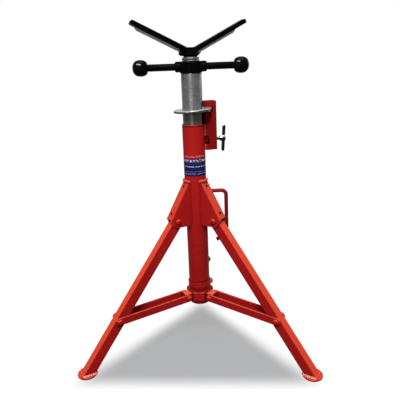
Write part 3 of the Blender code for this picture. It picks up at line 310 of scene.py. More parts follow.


# The red paint: painted top light on upward sides, edges lighter from wear and painted highlight,
# painted shade in corners
paintLook = {
    "base": (0.52, 0.015, 0.014), "patch": (0.41, 0.01, 0.011), "paintedTopLight": (0.78, 0.072, 0.03),
    "cloudScale": 9, "speckleScale": 160, "amount": 0.6, "speckle": 0.25, "roughness": (0.3, 0.42),
    "edgeLightAndWear": 0.45, "edgeLightAndWearColour": (0.74, 0.12, 0.07), "edgeLightAndWearRadius": 0.0009, "edgeLightAndWearScale": 90,
    "grainScale": 260, "grainHeight": 0.00012, "specular": 0.05, "cornerShade": (0.22, 0.12, 0.12)}
# the red paint without its painted top light
evenPaintLook = {key: value for key, value in paintLook.items() if key != "paintedTopLight"}
zincLook = {
    "base": (0.275, 0.276, 0.271), "patch": (0.092, 0.095, 0.099), "cloudScale": 80,
    "speckleScale": 330, "amount": 0.85, "speckle": 0.6, "roughness": (0.26, 0.42),
    "metallic": 0.8, "grainScale": 500, "grainHeight": 0.00012, "coat": 0.5, "coatRoughness": 0.2}
looks = {
    "redPaint": paintLook,
    # The column: lighter painted shade in corners, painted shade in two dark bands under the top
    # rim, a painted highlight in a pinker band on the bottom rim, and a darker band above the
    # collar's sleeve
    "redColumn": {
        **paintLook, "cornerShade": (0.6, 0.5, 0.5), "grainScale": 150, "grainHeight": 0.0004,
        "grainStretch": (1, 1, 0.1), "bands": [
            (0.6585, 0.6592, 0.0004, (0.35, 0.3, 0.3)), (0.6545, 0.658, 0.001, (0.6, 0.45, 0.45)),
            (0.128, 0.1325, 0.002, (1.6, 3, 3)), (0.197, 0.2035, 0.002, (0.6, 0.5, 0.5))],
        "lines": [
            (0.2965, 0.0011, 1.7, 0.45, 0.85, (0.08, 0.006, 0.006)),
            (0.3185, 0.0008, 2.6, 0.4, 0.7, (0.12, 0.01, 0.01)),
            (0.168, 0.0006, 3.0, 0.5, 0.5, (0.16, 0.01, 0.01))]},
    # painted shade in corners, lighter than the plain paint's
    "redHub": {**paintLook, "cornerShade": (0.6, 0.5, 0.5)},
    # painted top light on the feet
    "redFoot": {**paintLook, "paintedTopLight": (0.66, 0.052, 0.026)},
    # The collar: painted top light between 0.1 and 0.18 high, painted shade in a dark band just
    # above the hub, and a dark line at the sleeve's top edge
    "redCollar": {
        **paintLook, "paintedTopLight": (0.84, 0.12, 0.07), "paintedTopLightIn": (0.1, 0.18),
        "bands": [(0.1725, 0.185, 0.005, (0.55, 0.45, 0.45)),
                  (0.1955, 0.1975, 0.0008, (0.5, 0.4, 0.4))]},
    # the bars: painted top light, and lighter, pinker edges, partly wear and partly painted
    # highlight on their top edges
    "redBar": {**paintLook, "paintedTopLight": (0.7, 0.08, 0.05), "edgeLightAndWear": 1.0, "edgeLightAndWearScale": 160,
               "edgeLightAndWearColour": (0.8, 0.27, 0.21), "edgeLightAndWearRadius": 0.0012},
    # pale pink speckles over red: painted highlights on the weld beads by the feet
    "redSpatter": {
        **evenPaintLook, "base": (0.72, 0.09, 0.07), "patch": (0.93, 0.55, 0.5), "edgeLightAndWear": 0,
        "cloudScale": 260, "speckleScale": 700, "amount": 1.0, "speckle": 0.5,
        "roughness": (0.1, 0.2), "grainScale": 600, "grainHeight": 0.0003, "specular": 0.4},
    # near-black red: painted shade inside the leg brackets' channels and on the spring
    "bracketInside": {
        **evenPaintLook, "base": (0.045, 0.004, 0.004), "patch": (0.02, 0.002, 0.002),
        "edgeLightAndWear": 0, "specular": 0.02},
    # a darker copy of the red paint: painted shade on the ring bracket
    "redBracket": {**paintLook, "base": (0.31, 0.009, 0.008), "patch": (0.22, 0.006, 0.006)},
    # a darker copy of the red paint: painted shade on the carry handle's rod, with painted top
    # light
    "redRod": {**paintLook, "base": (0.27, 0.01, 0.008), "patch": (0.19, 0.006, 0.006),
               "paintedTopLight": (0.4, 0.022, 0.016), "edgeLightAndWear": 0},
    # lighter painted shade in the welds' corners
    "redWeld": {
        **paintLook, "base": (0.62, 0.032, 0.02), "edgeLightAndWear": 0, "cornerShade": (0.75, 0.65, 0.65),
        "roughness": (0.1, 0.2), "grainScale": 600, "grainHeight": 0.0003, "specular": 0.3},
    "redSeam": {**evenPaintLook, "edgeLightAndWear": 0, "grainScale": 500, "grainHeight": 0.0003},
    "zincTube": zincLook,
    # painted shadow of the friction ring on the sliding tube: darker below the ring's height,
    # darkest just under it
    "oiledZinc": {**zincLook, "bands": [
        (0.0, 0.694, 0.003, (0.56, 0.54, 0.49)), (0.67, 0.694, 0.003, (0.55, 0.56, 0.52)),
        (0.686, 0.694, 0.002, (0.5, 0.5, 0.48))]},
    # painted top light: the friction ring's top is pale
    "zincRing": {
        "base": (0.125, 0.122, 0.11), "patch": (0.055, 0.054, 0.047),
        "paintedTopLight": (0.74, 0.73, 0.67), "cloudScale": 45, "speckleScale": 380, "amount": 0.7,
        "roughness": (0.22, 0.42), "metallic": 0.7, "grainScale": 300},
    # painted top light: the wings' tops are pale
    "castZinc": {
        "base": (0.026, 0.026, 0.024), "patch": (0.007, 0.007, 0.006),
        "paintedTopLight": (0.66, 0.66, 0.63), "cloudScale": 90, "speckleScale": 700, "amount": 0.7,
        "roughness": (0.14, 0.3), "metallic": 0.9, "grainScale": 700, "grainHeight": 0.0002},
    "blackEnamel": {
        "base": (0.0018, 0.002, 0.0024), "patch": (0.0034, 0.003, 0.0028), "cloudScale": 25,
        "amount": 0.8, "speckle": 0.3, "roughness": (0.22, 0.36), "edgeLightAndWear": 0.2,
        "edgeLightAndWearColour": (0.03, 0.029, 0.028), "edgeLightAndWearRadius": 0.0008, "edgeLightAndWearScale": 120,
        "grainScale": 320, "grainHeight": 0.00012, "specular": 0.015},
    "holeShade": {"base": (0.012, 0.002, 0.002), "patch": (0.006, 0.001, 0.001),
                  "roughness": (0.6, 0.8), "specular": 0.01},
    "knobPlastic": {
        "base": (0.0004, 0.0004, 0.0005), "patch": (0.0007, 0.0007, 0.0008), "cloudScale": 30,
        "roughness": (0.06, 0.1), "grainScale": 120, "grainHeight": 0.00003, "specular": 0.03},
    "paleRib": {
        "base": (0.76, 0.74, 0.69), "patch": (0.46, 0.42, 0.38), "cloudScale": 60,
        "speckleScale": 400, "amount": 0.7, "roughness": (0.35, 0.55), "metallic": 0.3,
        "grainScale": 500},
    "plainSteel": {
        "base": (0.4, 0.4, 0.39), "patch": (0.24, 0.24, 0.24), "cloudScale": 70,
        "speckleScale": 500, "amount": 0.6, "roughness": (0.28, 0.45), "metallic": 0.85,
        "grainScale": 500},
}
finishes = {name: layeredMaterial(name, look) for name, look in looks.items()}
print("materials made:", len(finishes))


# Shape helpers

def atAxis(azimuth=0.0, z=0.0):
    return Matrix.Translation(standAxis + Vector((0, 0, z))) @ Matrix.Rotation(azimuth, 4, "Z")


def planeOf(side):
    return atAxis(legAzimuths[side])


def meshFromSolid(solid, name):
    mesh = bpy.data.meshes.new(name)
    solid.to_mesh(mesh)
    solid.free()
    return mesh


def newShape(name, data):
    shape = bpy.data.objects.new(name, data)
    bpy.context.scene.collection.objects.link(shape)
    return shape


def settled(shape):
    # the shape as its modifiers leave it, as a plain mesh
    bpy.context.view_layer.update()
    graph = bpy.context.evaluated_depsgraph_get()
    mesh = bpy.data.meshes.new_from_object(shape.evaluated_get(graph))
    shape.modifiers.clear()
    shape.data = mesh
    return shape


def newTree(name, build, floats, integers):
    # a Geometry Nodes tree with these named inputs; build gives its geometry
    tree = bpy.data.node_groups.new(name, "GeometryNodeTree")
    for kind, labels in (("Geometry", ("Geometry",)), ("Float", floats), ("Int", integers),
                         ("Material", ("Finish",))):
        for label in labels:
            tree.interface.new_socket(label, in_out="INPUT", socket_type="NodeSocket" + kind)
    tree.interface.new_socket("Geometry", in_out="OUTPUT", socket_type="NodeSocketGeometry")
    given = tree.nodes.new("NodeGroupInput").outputs
    real = addNode(tree, "GeometryNodeRealizeInstances", {0: build(tree, given)})
    coat = addNode(tree, "GeometryNodeSetMaterial", {
        "Geometry": real.outputs[0], "Material": given["Finish"]})
    feed(tree, tree.nodes.new("NodeGroupOutput"), {0: coat.outputs[0]})
    return tree


def grown(name, paths, tree, finish, inputs):
    # the paths as open lines, and what the tree makes of them as a plain mesh
    solid = bmesh.new()
    for points in paths:
        line = [solid.verts.new(point) for point in points]
        for start, end in zip(line, line[1:]):
            solid.edges.new((start, end))
    shape = newShape(name, meshFromSolid(solid, name))
    modifier = shape.modifiers.new(tree.name, "NODES")
    modifier.node_group = tree
    values = {**inputs, "Finish": finishes[finish]}
    for item in tree.interface.items_tree:
        if item.in_out == "INPUT" and item.name in values:
            modifier[item.identifier] = values[item.name]
    return settled(shape)


def smoothShade(mesh, angle=32):
    mesh.shade_smooth()
    mesh.set_sharp_from_angle(angle=radians(angle))


def dress(shape, finish, node, replaces=True):
    # the shape moves with the node, and takes its place unless it only adds to it
    shape.data.materials.clear()
    shape.data.materials.append(finishes[finish])
    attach(shape, nodeBody[node])
    if replaces:
        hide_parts(node)


def arcPoints(middle, radius, start, end, steps):
    return [(middle[0] + radius * cos(start + (end - start) * step / steps),
             middle[1] + radius * sin(start + (end - start) * step / steps))
            for step in range(steps + 1)]


def turnedShape(name, profile, steps, place, closed=False):
    # profile is (radius, height), turned about Z; place puts the result in the stand
    solid = bmesh.new()
    rings = []
    for radius, height in profile:
        rings.append([solid.verts.new((radius * cos(2 * pi * step / steps),
                                       radius * sin(2 * pi * step / steps), height))
                      for step in range(steps if radius > 0 else 1)])
    pairs = list(zip(rings, rings[1:]))
    if closed:
        pairs.append((rings[-1], rings[0]))
    for upper, lower in pairs:
        for step in range(steps):
            around = ((upper, step), (upper, step + 1), (lower, step + 1), (lower, step))
            corners = dict.fromkeys(ring[index % len(ring)] for ring, index in around)
            if len(corners) > 2:
                solid.faces.new(list(corners))
    bmesh.ops.recalc_face_normals(solid, faces=solid.faces)
    shape = newShape(name, meshFromSolid(solid, name))
    smoothShade(shape.data)
    shape.data.transform(place)
    return shape


def turnedPiece(name, node, finish, profile, steps, place, closed=False):
    dress(turnedShape(name, profile, steps, place, closed), finish, node)


# A node that keeps its CAD solid gets its slot's finish
slotFinishes = {
    "red_paint": "redPaint", "zinc_plate": "zincTube", "black_enamel": "blackEnamel",
    "knob_plastic": "knobPlastic", "plain_steel": "plainSteel"}
for node, slot in nodeSlot.items():
    nodes[node].data.materials.clear()
    nodes[node].data.materials.append(finishes[slotFinishes[slot]])

# Tubes and the friction ring, turned finely over their CAD solids
tubeValues = {"edge": 0.0008, "steps": 96}
wallValues = {
    "outer_column": ("columnTube", "redColumn", 0.0028),
    "inner_tube": ("slidingTube", "oiledZinc", 0.003)}
ringValues = {
    "outer": 0.051, "hole": 0.0276, "half": 0.00275, "edge": 0.0011, "tilt": radians(3.0),
    "z": 0.6962, "steps": 96}


def outerSide(radius, bottom, top, edge):
    return [*arcPoints((radius - edge, top - edge), edge, pi / 2, 0, 3),
            *arcPoints((radius - edge, bottom + edge), edge, 0, -pi / 2, 3)]


def makeTubes():
    for node, (name, finish, wall) in wallValues.items():
        low, high = map(Vector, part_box(node))
        radius = (high.x - low.x) / 2
        profile = [*outerSide(radius, low.z, high.z, tubeValues["edge"]),
                   (radius - wall, low.z), (radius - wall, high.z)]
        turnedPiece(name, node, finish, profile, tubeValues["steps"], atAxis(), True)


def makeRing():
    values = ringValues
    hole, half, edge = values["hole"], values["half"], values["edge"]
    profile = [*outerSide(values["outer"], -half, half, edge),
               (hole + edge / 3, -half), (hole, edge / 3 - half),
               (hole, half - edge / 3), (hole + edge / 3, half)]
    place = atAxis(lockAzimuth, values["z"]) @ Matrix.Rotation(-values["tilt"], 4, "Y")
    turnedPiece("frictionRing", "friction_ring", "zincRing", profile, values["steps"], place, True)


makeTubes()
makeRing()

# Threads of the jack screw and the wing screw
threadValues = {
    "jackScrew": {
        "node": "jack_screw", "finish": "zincTube", "radius": 0.02325, "bore": 0.0155,
        "depth": 0.0021, "pitch": 0.006, "bottom": 0.6805, "top": 0.8305, "steps": 80, "rows": 253},
    "wingStud": {
        "node": "wing_screw_stud", "finish": "castZinc", "radius": 0.0045, "bore": 0.0003,
        "depth": 0.0006, "pitch": 0.0015, "bottom": 0.0273, "top": 0.0805, "steps": 24,
        "rows": 290},
}
studHeight = 0.616
# how far from the middle of a groove its floor ends and its crest starts, as shares of a pitch
grooveShares = (0.12, 0.34)


def cutThread(tree, given):
    # a turned bar as a wrapped grid, with a groove that climbs one pitch a turn
    def do(operation, *terms):
        return calc(tree, operation, *terms)

    rows, top, bottom, bore = given["Rows"], given["Top"], given["Bottom"], given["Bore"]
    grid = addNode(tree, "GeometryNodeMeshGrid", {
        "Vertices X": do("ADD", given["Steps"], 1), "Vertices Y": rows})
    spot = axesOf(tree, addNode(tree, "GeometryNodeInputPosition").outputs[0])
    row = do("MULTIPLY", do("ADD", spot["Y"], 0.5), do("SUBTRACT", rows, 1))
    onSide = do("MULTIPLY", do("GREATER_THAN", row, 0.5),
                do("LESS_THAN", row, do("SUBTRACT", rows, 2.5)))
    notLast = do("LESS_THAN", row, do("SUBTRACT", rows, 1.5))
    share = do("DIVIDE", do("SUBTRACT", row, 1), do("SUBTRACT", rows, 4))
    share = do("MULTIPLY", do("MINIMUM", do("MAXIMUM", share, 0), 1), notLast)
    height = do("MULTIPLY_ADD", share, do("SUBTRACT", top, bottom), bottom)
    phase = do("FRACT", do("SUBTRACT", do("DIVIDE", height, given["Pitch"]), spot["X"]))
    crest = fade(tree, do("ABSOLUTE", do("SUBTRACT", phase, 0.5)), *grooveShares,
                 curve="SMOOTHSTEP")
    endRoom = do("MINIMUM", do("SUBTRACT", height, bottom), do("SUBTRACT", top, height))
    chamfer = do("MAXIMUM", do("SUBTRACT", 1, do("DIVIDE", endRoom, given["Depth"])), 0)
    cut = do("MULTIPLY", do("MAXIMUM", do("SUBTRACT", 1, crest), chamfer), given["Depth"])
    outer = do("SUBTRACT", given["Radius"], cut)
    radius = do("MULTIPLY_ADD", do("SUBTRACT", outer, bore), onSide, bore)
    turn = do("MULTIPLY", spot["X"], 2 * pi)
    place = addNode(tree, "ShaderNodeCombineXYZ", {
        "X": do("MULTIPLY", radius, do("COSINE", turn)),
        "Y": do("MULTIPLY", radius, do("SINE", turn)), "Z": height})
    move = addNode(tree, "GeometryNodeSetPosition", {
        "Geometry": grid.outputs["Mesh"], "Position": place.outputs[0]})
    joined = addNode(tree, "GeometryNodeMergeByDistance", {
        "Geometry": move.outputs[0], "Distance": mergeDistance})
    return joined.outputs[0]


def makeThreads():
    tree = newTree("threadCut", cutThread, ("Radius", "Bore", "Depth", "Pitch", "Bottom", "Top"),
                   ("Steps", "Rows"))
    places = {"jackScrew": atAxis(),
              "wingStud": atAxis(lockAzimuth, studHeight) @ Matrix.Rotation(pi / 2, 4, "Y")}
    for name, thread in threadValues.items():
        shape = grown(name, [], tree, thread["finish"],
                      {key.title(): value for key, value in thread.items()})
        smoothShade(shape.data, 50)
        shape.data.transform(places[name])
        dress(shape, thread["finish"], thread["node"])


makeThreads()
print("threads cut")

# Ball knobs and handle bars
knobValues = {
    "radius": 0.0206, "fullness": 2.4, "reach": 0.1298, "flat": 0.0178, "lip": 0.0012,
    "lipAngle": 0.03, "bore": 0.0053, "boreEnd": -0.0008, "azimuth": radians(4.8), "z": 0.8072,
    "rows": 40, "steps": 64}
barValues = {
    "radius": 0.009, "start": 0.031, "neck": 0.005, "edge": 0.0009, "gap": 0.0003, "steps": 40}


def knobProfile():
    # a ball that is a little fuller than a sphere, flat and bored where the bar meets it
    radius, flat, lip, bore, end = (knobValues[key]
                                    for key in ("radius", "flat", "lip", "bore", "boreEnd"))
    power = 2 / knobValues["fullness"]
    flatAngle = asin((flat / radius) ** (1 / power))
    arc = arcPoints((0, 0), 1, pi / 2, knobValues["lipAngle"] - flatAngle, knobValues["rows"])
    ball = [(radius * across ** power, copysign(radius * abs(up) ** power, up))
            for across, up in arc[1:]]
    rim = radius * cos(flatAngle) ** power
    return [(0, radius), *ball, (rim - lip / 2, -flat + lip / 5), (rim - lip, -flat),
            (bore, -flat), (bore, end), (0, end)]


def barProfile():
    radius, edge, neck, start = (barValues[key] for key in ("radius", "edge", "neck", "start"))
    shoulder = knobValues["reach"] - knobValues["flat"] - barValues["gap"]
    neckEnd = knobValues["reach"] + knobValues["boreEnd"] - barValues["gap"]
    return [(0, neckEnd), (neck, neckEnd), (neck, shoulder),
            *arcPoints((radius - edge, shoulder - edge), edge, pi / 2, 0, 3),
            (radius, start), (0, start)]


def makeHandle():
    for side, turn in (("right", 0), ("left", pi)):
        along = (atAxis(knobValues["azimuth"] + turn, knobValues["z"])
                 @ Matrix.Rotation(pi / 2, 4, "Y"))
        turnedPiece("ballKnob" + side.title(), "ball_knob_" + side, "knobPlastic", knobProfile(),
                    knobValues["steps"], along @ Matrix.Translation((0, 0, knobValues["reach"])))
        turnedPiece("handleBar" + side.title(), "handle_bar_" + side, "blackEnamel", barProfile(),
                    barValues["steps"], along)


makeHandle()

# Feet
padValues = {"reach": 0.35699, "radius": 0.027, "thickness": 0.005, "edge": 0.0016, "steps": 72}


def makePads():
    radius, thickness, edge = padValues["radius"], padValues["thickness"], padValues["edge"]
    profile = [(0, thickness), *arcPoints((radius - edge, thickness - edge), edge, pi / 2, 0, 4),
               (radius, edge / 4), (radius - edge / 4, 0), (0, 0)]
    for side in legAzimuths:
        place = planeOf(side) @ Matrix.Translation((padValues["reach"], 0, 0))
        turnedPiece("footPad" + side.title(), "foot_pad_" + side, "redFoot", profile,
                    padValues["steps"], place)


makePads()

# Bolts with dome heads
domeValues = {"rim": 0.0006, "rows": 10, "steps": 32}
smallBolt = {"seat": 0.0196, "head": 0.008, "rise": 0.0048, "shank": 0.004}
boltValues = {
    "leg_bolt": {"reach": 0.0659, "z": 0.3975, "seat": 0.0176, "head": 0.0082, "rise": 0.0052,
                 "shank": 0.005, "length": 0.0452},
    "collar_bolt": {**smallBolt, "reach": 0.044, "z": 0.1535, "length": 0.0472},
    "brace_bolt": {**smallBolt, "reach": 0.25613, "z": 0.14229, "length": 0.0053},
}


def makeBolts():
    rim, rows = domeValues["rim"], domeValues["rows"]
    for kind, bolt in boltValues.items():
        head, rise, shank, length = (bolt[key] for key in ("head", "rise", "shank", "length"))
        dome = [(head * cos(angle), rim + (rise - rim) * sin(angle))
                for angle in (pi / 2 * step / rows for step in range(rows - 1, -1, -1))]
        profile = [(0, rise), *dome, (head, rim / 3), (head - rim / 3, 0), (shank, 0),
                   (shank, -length), (0, -length)]
        for side, facing in boltSides.items():
            spot = (bolt["reach"], facing * bolt["seat"], bolt["z"])
            place = (planeOf(side) @ Matrix.Translation(spot)
                     @ Matrix.Rotation(-facing * pi / 2, 4, "X"))
            name = kind.split("_")[0] + "Bolt" + side.title()
            turnedPiece(name, kind + "_" + side, "redPaint", profile, domeValues["steps"], place)


makeBolts()
print("turned pieces made")

# Flat and folded pieces get broken edges; each has its name, finish, edge width and,
# where that isn't 2, its segments
edgeValues = {"merge": 0.00001, "flat": radians(0.8), "sharp": radians(30)}
refinedValues = {
    "ring_bracket": ("ringBracket", "redBracket", 0.0007),
    "sliding_collar": ("slidingCollar", "redCollar", 0.0006),
    "v_head": ("headCasting", "blackEnamel", 0.0016, 3),
    "handle_nut": ("handleNut", "blackEnamel", 0.0008),
    "arm_rib_left": ("armRibLeft", "paleRib", 0.0006),
    "arm_rib_right": ("armRibRight", "paleRib", 0.0006),
    "collar_lock_bolt": ("collarLockBolt", "plainSteel", 0.0004),
    "wing_screw_nut": ("wingNutBlock", "redPaint", 0.0005),
}
for side in legAzimuths:
    refinedValues["leg_bracket_" + side] = ("legBracket" + side.title(), "redHub", 0.0006)
    refinedValues["leg_" + side] = ("legTube" + side.title(), "redPaint", 0.0005)
    refinedValues["brace_front_" + side] = ("braceNear" + side.title(), "redBar", 0.0006)
    refinedValues["brace_back_" + side] = ("braceFar" + side.title(), "redBar", 0.0006)
    for kind in ("leg", "collar", "brace"):
        refinedValues[kind + "_nut_" + side] = (kind + "Nut" + side.title(), "plainSteel", 0.0003)
# The leg brackets' drilled holes, in each bracket's own plane, and the inside of their channel
holeValues = {
    "places": ((0.03675, 0.49165), (0.078, 0.41905)), "lean": radians(29.6), "drilled": 0.0022,
    "radius": 0.0041, "sheet": 0.006, "cap": 0.0044, "depth": 0.0011, "thick": 0.0008, "steps": 24}
channelValues = {"half": 0.0149, "facing": 0.7}


def widenHoles(solid, side):
    # the rims of the two drilled holes move out from the holes' axes
    values = holeValues
    plane = planeOf(side)
    outward = plane.to_3x3() @ Vector((cos(values["lean"]), 0, sin(values["lean"])))
    for reach, z in values["places"]:
        middle = plane @ Vector((reach, 0, z))
        for vertex in solid.verts:
            offset = vertex.co - middle
            along = offset.dot(outward)
            across = offset - along * outward
            if abs(along) < values["sheet"] and across.length < values["drilled"] * 1.2:
                vertex.co = middle + along * outward + across.normalized() * values["radius"]


def darkenInside(shape, side):
    # the faces that look into the bracket's channel take a near-black red, as painted shade inside
    # the channel
    shape.data.materials.append(finishes["bracketInside"])
    plane = planeOf(side)
    sideways = plane.to_3x3() @ Vector((0, 1, 0))
    for face in shape.data.polygons:
        lateral = (face.center - plane.translation).dot(sideways)
        inward = -face.normal.dot(sideways) * copysign(1, lateral)
        if abs(lateral) < channelValues["half"] and inward > channelValues["facing"]:
            face.material_index = 1


def refined(node, name, finish, width, segments=2):
    solid = bmesh.new()
    solid.from_mesh(nodes[node].data)
    channel = node.startswith("leg_bracket_")
    side = node.rsplit("_", 1)[1]
    if channel:
        widenHoles(solid, side)
    bmesh.ops.remove_doubles(solid, verts=solid.verts, dist=edgeValues["merge"])
    bmesh.ops.dissolve_limit(solid, angle_limit=edgeValues["flat"], verts=solid.verts,
                             edges=solid.edges)
    shape = newShape(name, meshFromSolid(solid, name))
    shape.data.shade_smooth()
    bevel = shape.modifiers.new("edges", "BEVEL")
    bevel.width = width
    bevel.segments = segments
    bevel.limit_method = "ANGLE"
    bevel.angle_limit = edgeValues["sharp"]
    shape.modifiers.new("normals", "WEIGHTED_NORMAL").keep_sharp = True
    settled(shape)
    dress(shape, finish, node)
    if channel:
        darkenInside(shape, side)


for node, values in refinedValues.items():
    refined(node, *values)
print("edges broken on", len(refinedValues), "pieces")

# Wings of the screw, melted together like a casting
castingValues = {"voxel": 0.0007, "smooth": 9, "strength": 0.6}


def makeWings():
    shape = newShape("wingCasting", nodes["wing_screw_handle"].data.copy())
    melt = shape.modifiers.new("melt", "REMESH")
    melt.mode = "VOXEL"
    melt.voxel_size = castingValues["voxel"]
    soften = shape.modifiers.new("soften", "SMOOTH")
    soften.factor = castingValues["strength"]
    soften.iterations = castingValues["smooth"]
    settled(shape)
    smoothShade(shape.data, 60)
    dress(shape, "castZinc", "wing_screw_handle")


makeWings()

# A cheek beside the hub, under the left arm, as in the photograph
cheekValues = {
    "azimuth": radians(20.2), "low": (-0.0292, -0.01, 0.8336), "high": (-0.015, 0.01, 0.853),
    "edge": 0.0028}


def makeCheek():
    values = cheekValues
    low, high = Vector(values["low"]), Vector(values["high"])
    solid = bmesh.new()
    bmesh.ops.create_cube(solid, size=1)
    bmesh.ops.scale(solid, vec=high - low, verts=solid.verts)
    bmesh.ops.translate(solid, vec=(low + high) / 2, verts=solid.verts)
    bmesh.ops.bevel(solid, geom=solid.edges, offset=values["edge"], segments=3, affect="EDGES")
    shape = newShape("headCheek", meshFromSolid(solid, "headCheek"))
    smoothShade(shape.data, 40)
    shape.data.transform(atAxis(values["azimuth"]))
    dress(shape, "blackEnamel", "v_head", False)


makeCheek()


# Round rods, swept along a path

def sweepRod(tree, given):
    line = addNode(tree, "GeometryNodeMeshToCurve", {"Mesh": given["Geometry"]})
    outline = addNode(tree, "GeometryNodeCurvePrimitiveCircle", {
        "Radius": given["Radius"], "Resolution": given["Facets"]})
    sweep = addNode(tree, "GeometryNodeCurveToMesh", {
        "Curve": line.outputs[0], "Profile Curve": outline.outputs["Curve"], "Fill Caps": True})
    return sweep.outputs[0]


rodTree = newTree("bentRod", sweepRod, ("Radius",), ("Facets",))


def sweptRod(name, path, node, finish, azimuth, values):
    shape = grown(name, [path], rodTree, finish, {
        "Radius": values["radius"], "Facets": values["facets"]})
    solid = bmesh.new()
    solid.from_mesh(shape.data)
    bmesh.ops.remove_doubles(solid, verts=solid.verts, dist=mergeDistance)
    bmesh.ops.recalc_face_normals(solid, faces=solid.faces)
    shape.data = meshFromSolid(solid, name)
    smoothShade(shape.data, 50)
    shape.data.transform(atAxis(azimuth))
    dress(shape, finish, node)
    return shape


# Carry handle
carryValues = {
    "radius": 0.0055, "azimuth": radians(4.2), "side": 0.008, "start": 0.03035, "topZ": 0.4697,
    "outer": 0.0855, "bend": 0.0135, "lowerZ": 0.3445, "tailLean": radians(27.5), "tailEnd": 0.0557,
    "facets": 28}


def makeCarryHandle():
    values = carryValues
    bend, lean, inside = values["bend"], values["tailLean"], values["outer"] - values["bend"]
    path = [(values["start"], values["topZ"]),
            *arcPoints((inside, values["topZ"] - bend), bend, pi / 2, 0, 14),
            *arcPoints((inside, values["lowerZ"]), bend, 0, lean - pi / 2, 12)]
    run = path[-1][0] - values["tailEnd"]
    path.append((values["tailEnd"], path[-1][1] - run * tan(lean)))
    sweptRod("carryHandle", [(reach, values["side"], z) for reach, z in path], "carry_handle",
             "redRod", values["azimuth"], values)


makeCarryHandle()

# Spring under the friction ring, as one helix
springValues = {
    "reach": 0.0385, "coil": 0.0042, "radius": 0.0007, "turns": 6, "steps": 24, "facets": 12,
    "keep": 0.885}


def makeSpring():
    values = springValues
    low, high = map(Vector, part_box("ring_spring"))
    bottom, top = low.z + values["radius"], high.z - values["radius"]
    count = values["turns"] * values["steps"]
    path = [(values["reach"] + values["coil"] * cos(2 * pi * step / values["steps"]),
             values["coil"] * sin(2 * pi * step / values["steps"]),
             bottom + (top - bottom) * step / count) for step in range(count + 1)]
    # the spring is near-black red, as painted shade inside the ring bracket
    shape = sweptRod("ringSpring", path, "ring_spring", "bracketInside", lockAzimuth, values)
    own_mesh(shape)


makeSpring()

# Weld beads: overlapping drops along seams; the spacing is a share of the drops' radius
beadValues = {"spacing": 0.5, "uneven": 0.13, "seed": 4}
weldValues = {
    "bracketSeam": {"radius": 0.0017, "lateral": 0.0178, "out": 0.0006, "heights": (0.386, 0.502)},
    "bracketTopWeld": {
        "radius": 0.0046, "z": 0.506, "out": 0.0008,
        "laterals": (-0.0165, -0.011, -0.0055, 0, 0.0055, 0.011, 0.0165)},
    "footWeld": {"radius": 0.0027, "near": 0.3343, "far": 0.3728, "half": 0.0146, "z": 0.0054},
    # beads beside the foot welds, in pale pink speckles that are painted highlights
    # each row: how much shorter than the foot weld, further out and lower
    "footSpatter": {"radius": 0.0021, "rows": ((0, 0.0005, 0), (0.003, 0.0038, 0.0008))},
    "ringBracketSeam": {
        "radius": 0.0028, "reach": 0.0283, "laterals": (-0.015, 0.015),
        "spans": ((0.5925, 0.6025), (0.63, 0.657))},
    "rodWeld": {"radius": 0.0021, "ring": 0.0066, "out": 0.0008, "steps": 16},
}


def layBeads(tree, given):
    line = addNode(tree, "GeometryNodeMeshToCurve", {"Mesh": given["Geometry"]})
    dots = addNode(tree, "GeometryNodeCurveToPoints",
                   {"Curve": line.outputs[0], "Length": given["Spacing"]}, mode="LENGTH")
    drop = addNode(tree, "GeometryNodeMeshIcoSphere", {
        "Subdivisions": 3, "Radius": given["Radius"]})
    size = addNode(tree, "FunctionNodeRandomValue", {
        2: calc(tree, "SUBTRACT", 1, given["Uneven"]), 3: calc(tree, "ADD", 1, given["Uneven"]),
        "Seed": given["Seed"]}, data_type="FLOAT")
    beads = addNode(tree, "GeometryNodeInstanceOnPoints", {
        "Points": dots.outputs["Points"], "Instance": drop.outputs["Mesh"],
        "Scale": size.outputs[1]})
    return beads.outputs[0]


weldTree = newTree("weldBead", layBeads, ("Radius", "Spacing", "Uneven"), ("Seed",))


def weld(kind, side, paths, node, place, finish="redWeld"):
    radius = weldValues[kind]["radius"]
    shape = grown(kind + side.title(), paths, weldTree, finish, {
        "Radius": radius, "Spacing": beadValues["spacing"] * radius,
        "Uneven": beadValues["uneven"], "Seed": beadValues["seed"]})
    shape.data.shade_smooth()
    shape.data.transform(place)
    dress(shape, finish, node, False)


def roundColumn(lateral, out):
    # reach of the column's face at a distance to the side
    return sqrt((columnRadius + out) ** 2 - lateral ** 2)


def makeWelds():
    seam, top, foot, beadGlint, bracket, rod = weldValues.values()
    seams = [[(roundColumn(seam["lateral"], seam["out"]), face * seam["lateral"], z)
              for z in seam["heights"]] for face in (-1, 1)]
    arch = [(roundColumn(lateral, top["out"]), lateral, top["z"]) for lateral in top["laterals"]]
    near, far, z = foot["near"], foot["far"], foot["z"]
    for side in legAzimuths:
        plane = planeOf(side)
        weld("bracketSeam", side, seams, "leg_bracket_" + side, plane, "redSeam")
        weld("bracketTopWeld", side, [arch], "leg_bracket_" + side, plane)
        bare = boltSides[side] * foot["half"]
        corners = [(far, bare, z), (far, -bare, z), (near, -bare, z), (near, bare, z)]
        weld("footWeld", side, [corners], "leg_" + side, plane)
        rows = [[(end, bare + copysign(out, bare), z - drop) for end in (near + inset, far - inset)]
                for inset, out, drop in beadGlint["rows"]]
        weld("footSpatter", side, rows, "leg_" + side, plane, "redSpatter")
    seams = [[(bracket["reach"], lateral, z) for z in span]
             for lateral in bracket["laterals"] for span in bracket["spans"]]
    weld("ringBracketSeam", "", seams, "ring_bracket", atAxis(lockAzimuth))
    ring = arcPoints((carryValues["side"], carryValues["topZ"]), rod["ring"], 0, 2 * pi,
                     rod["steps"])
    weld("rodWeld", "", [[(carryValues["start"] + rod["out"], lateral, z) for lateral, z in ring]],
         "carry_handle", atAxis(carryValues["azimuth"]))


makeWelds()
print("welds laid")


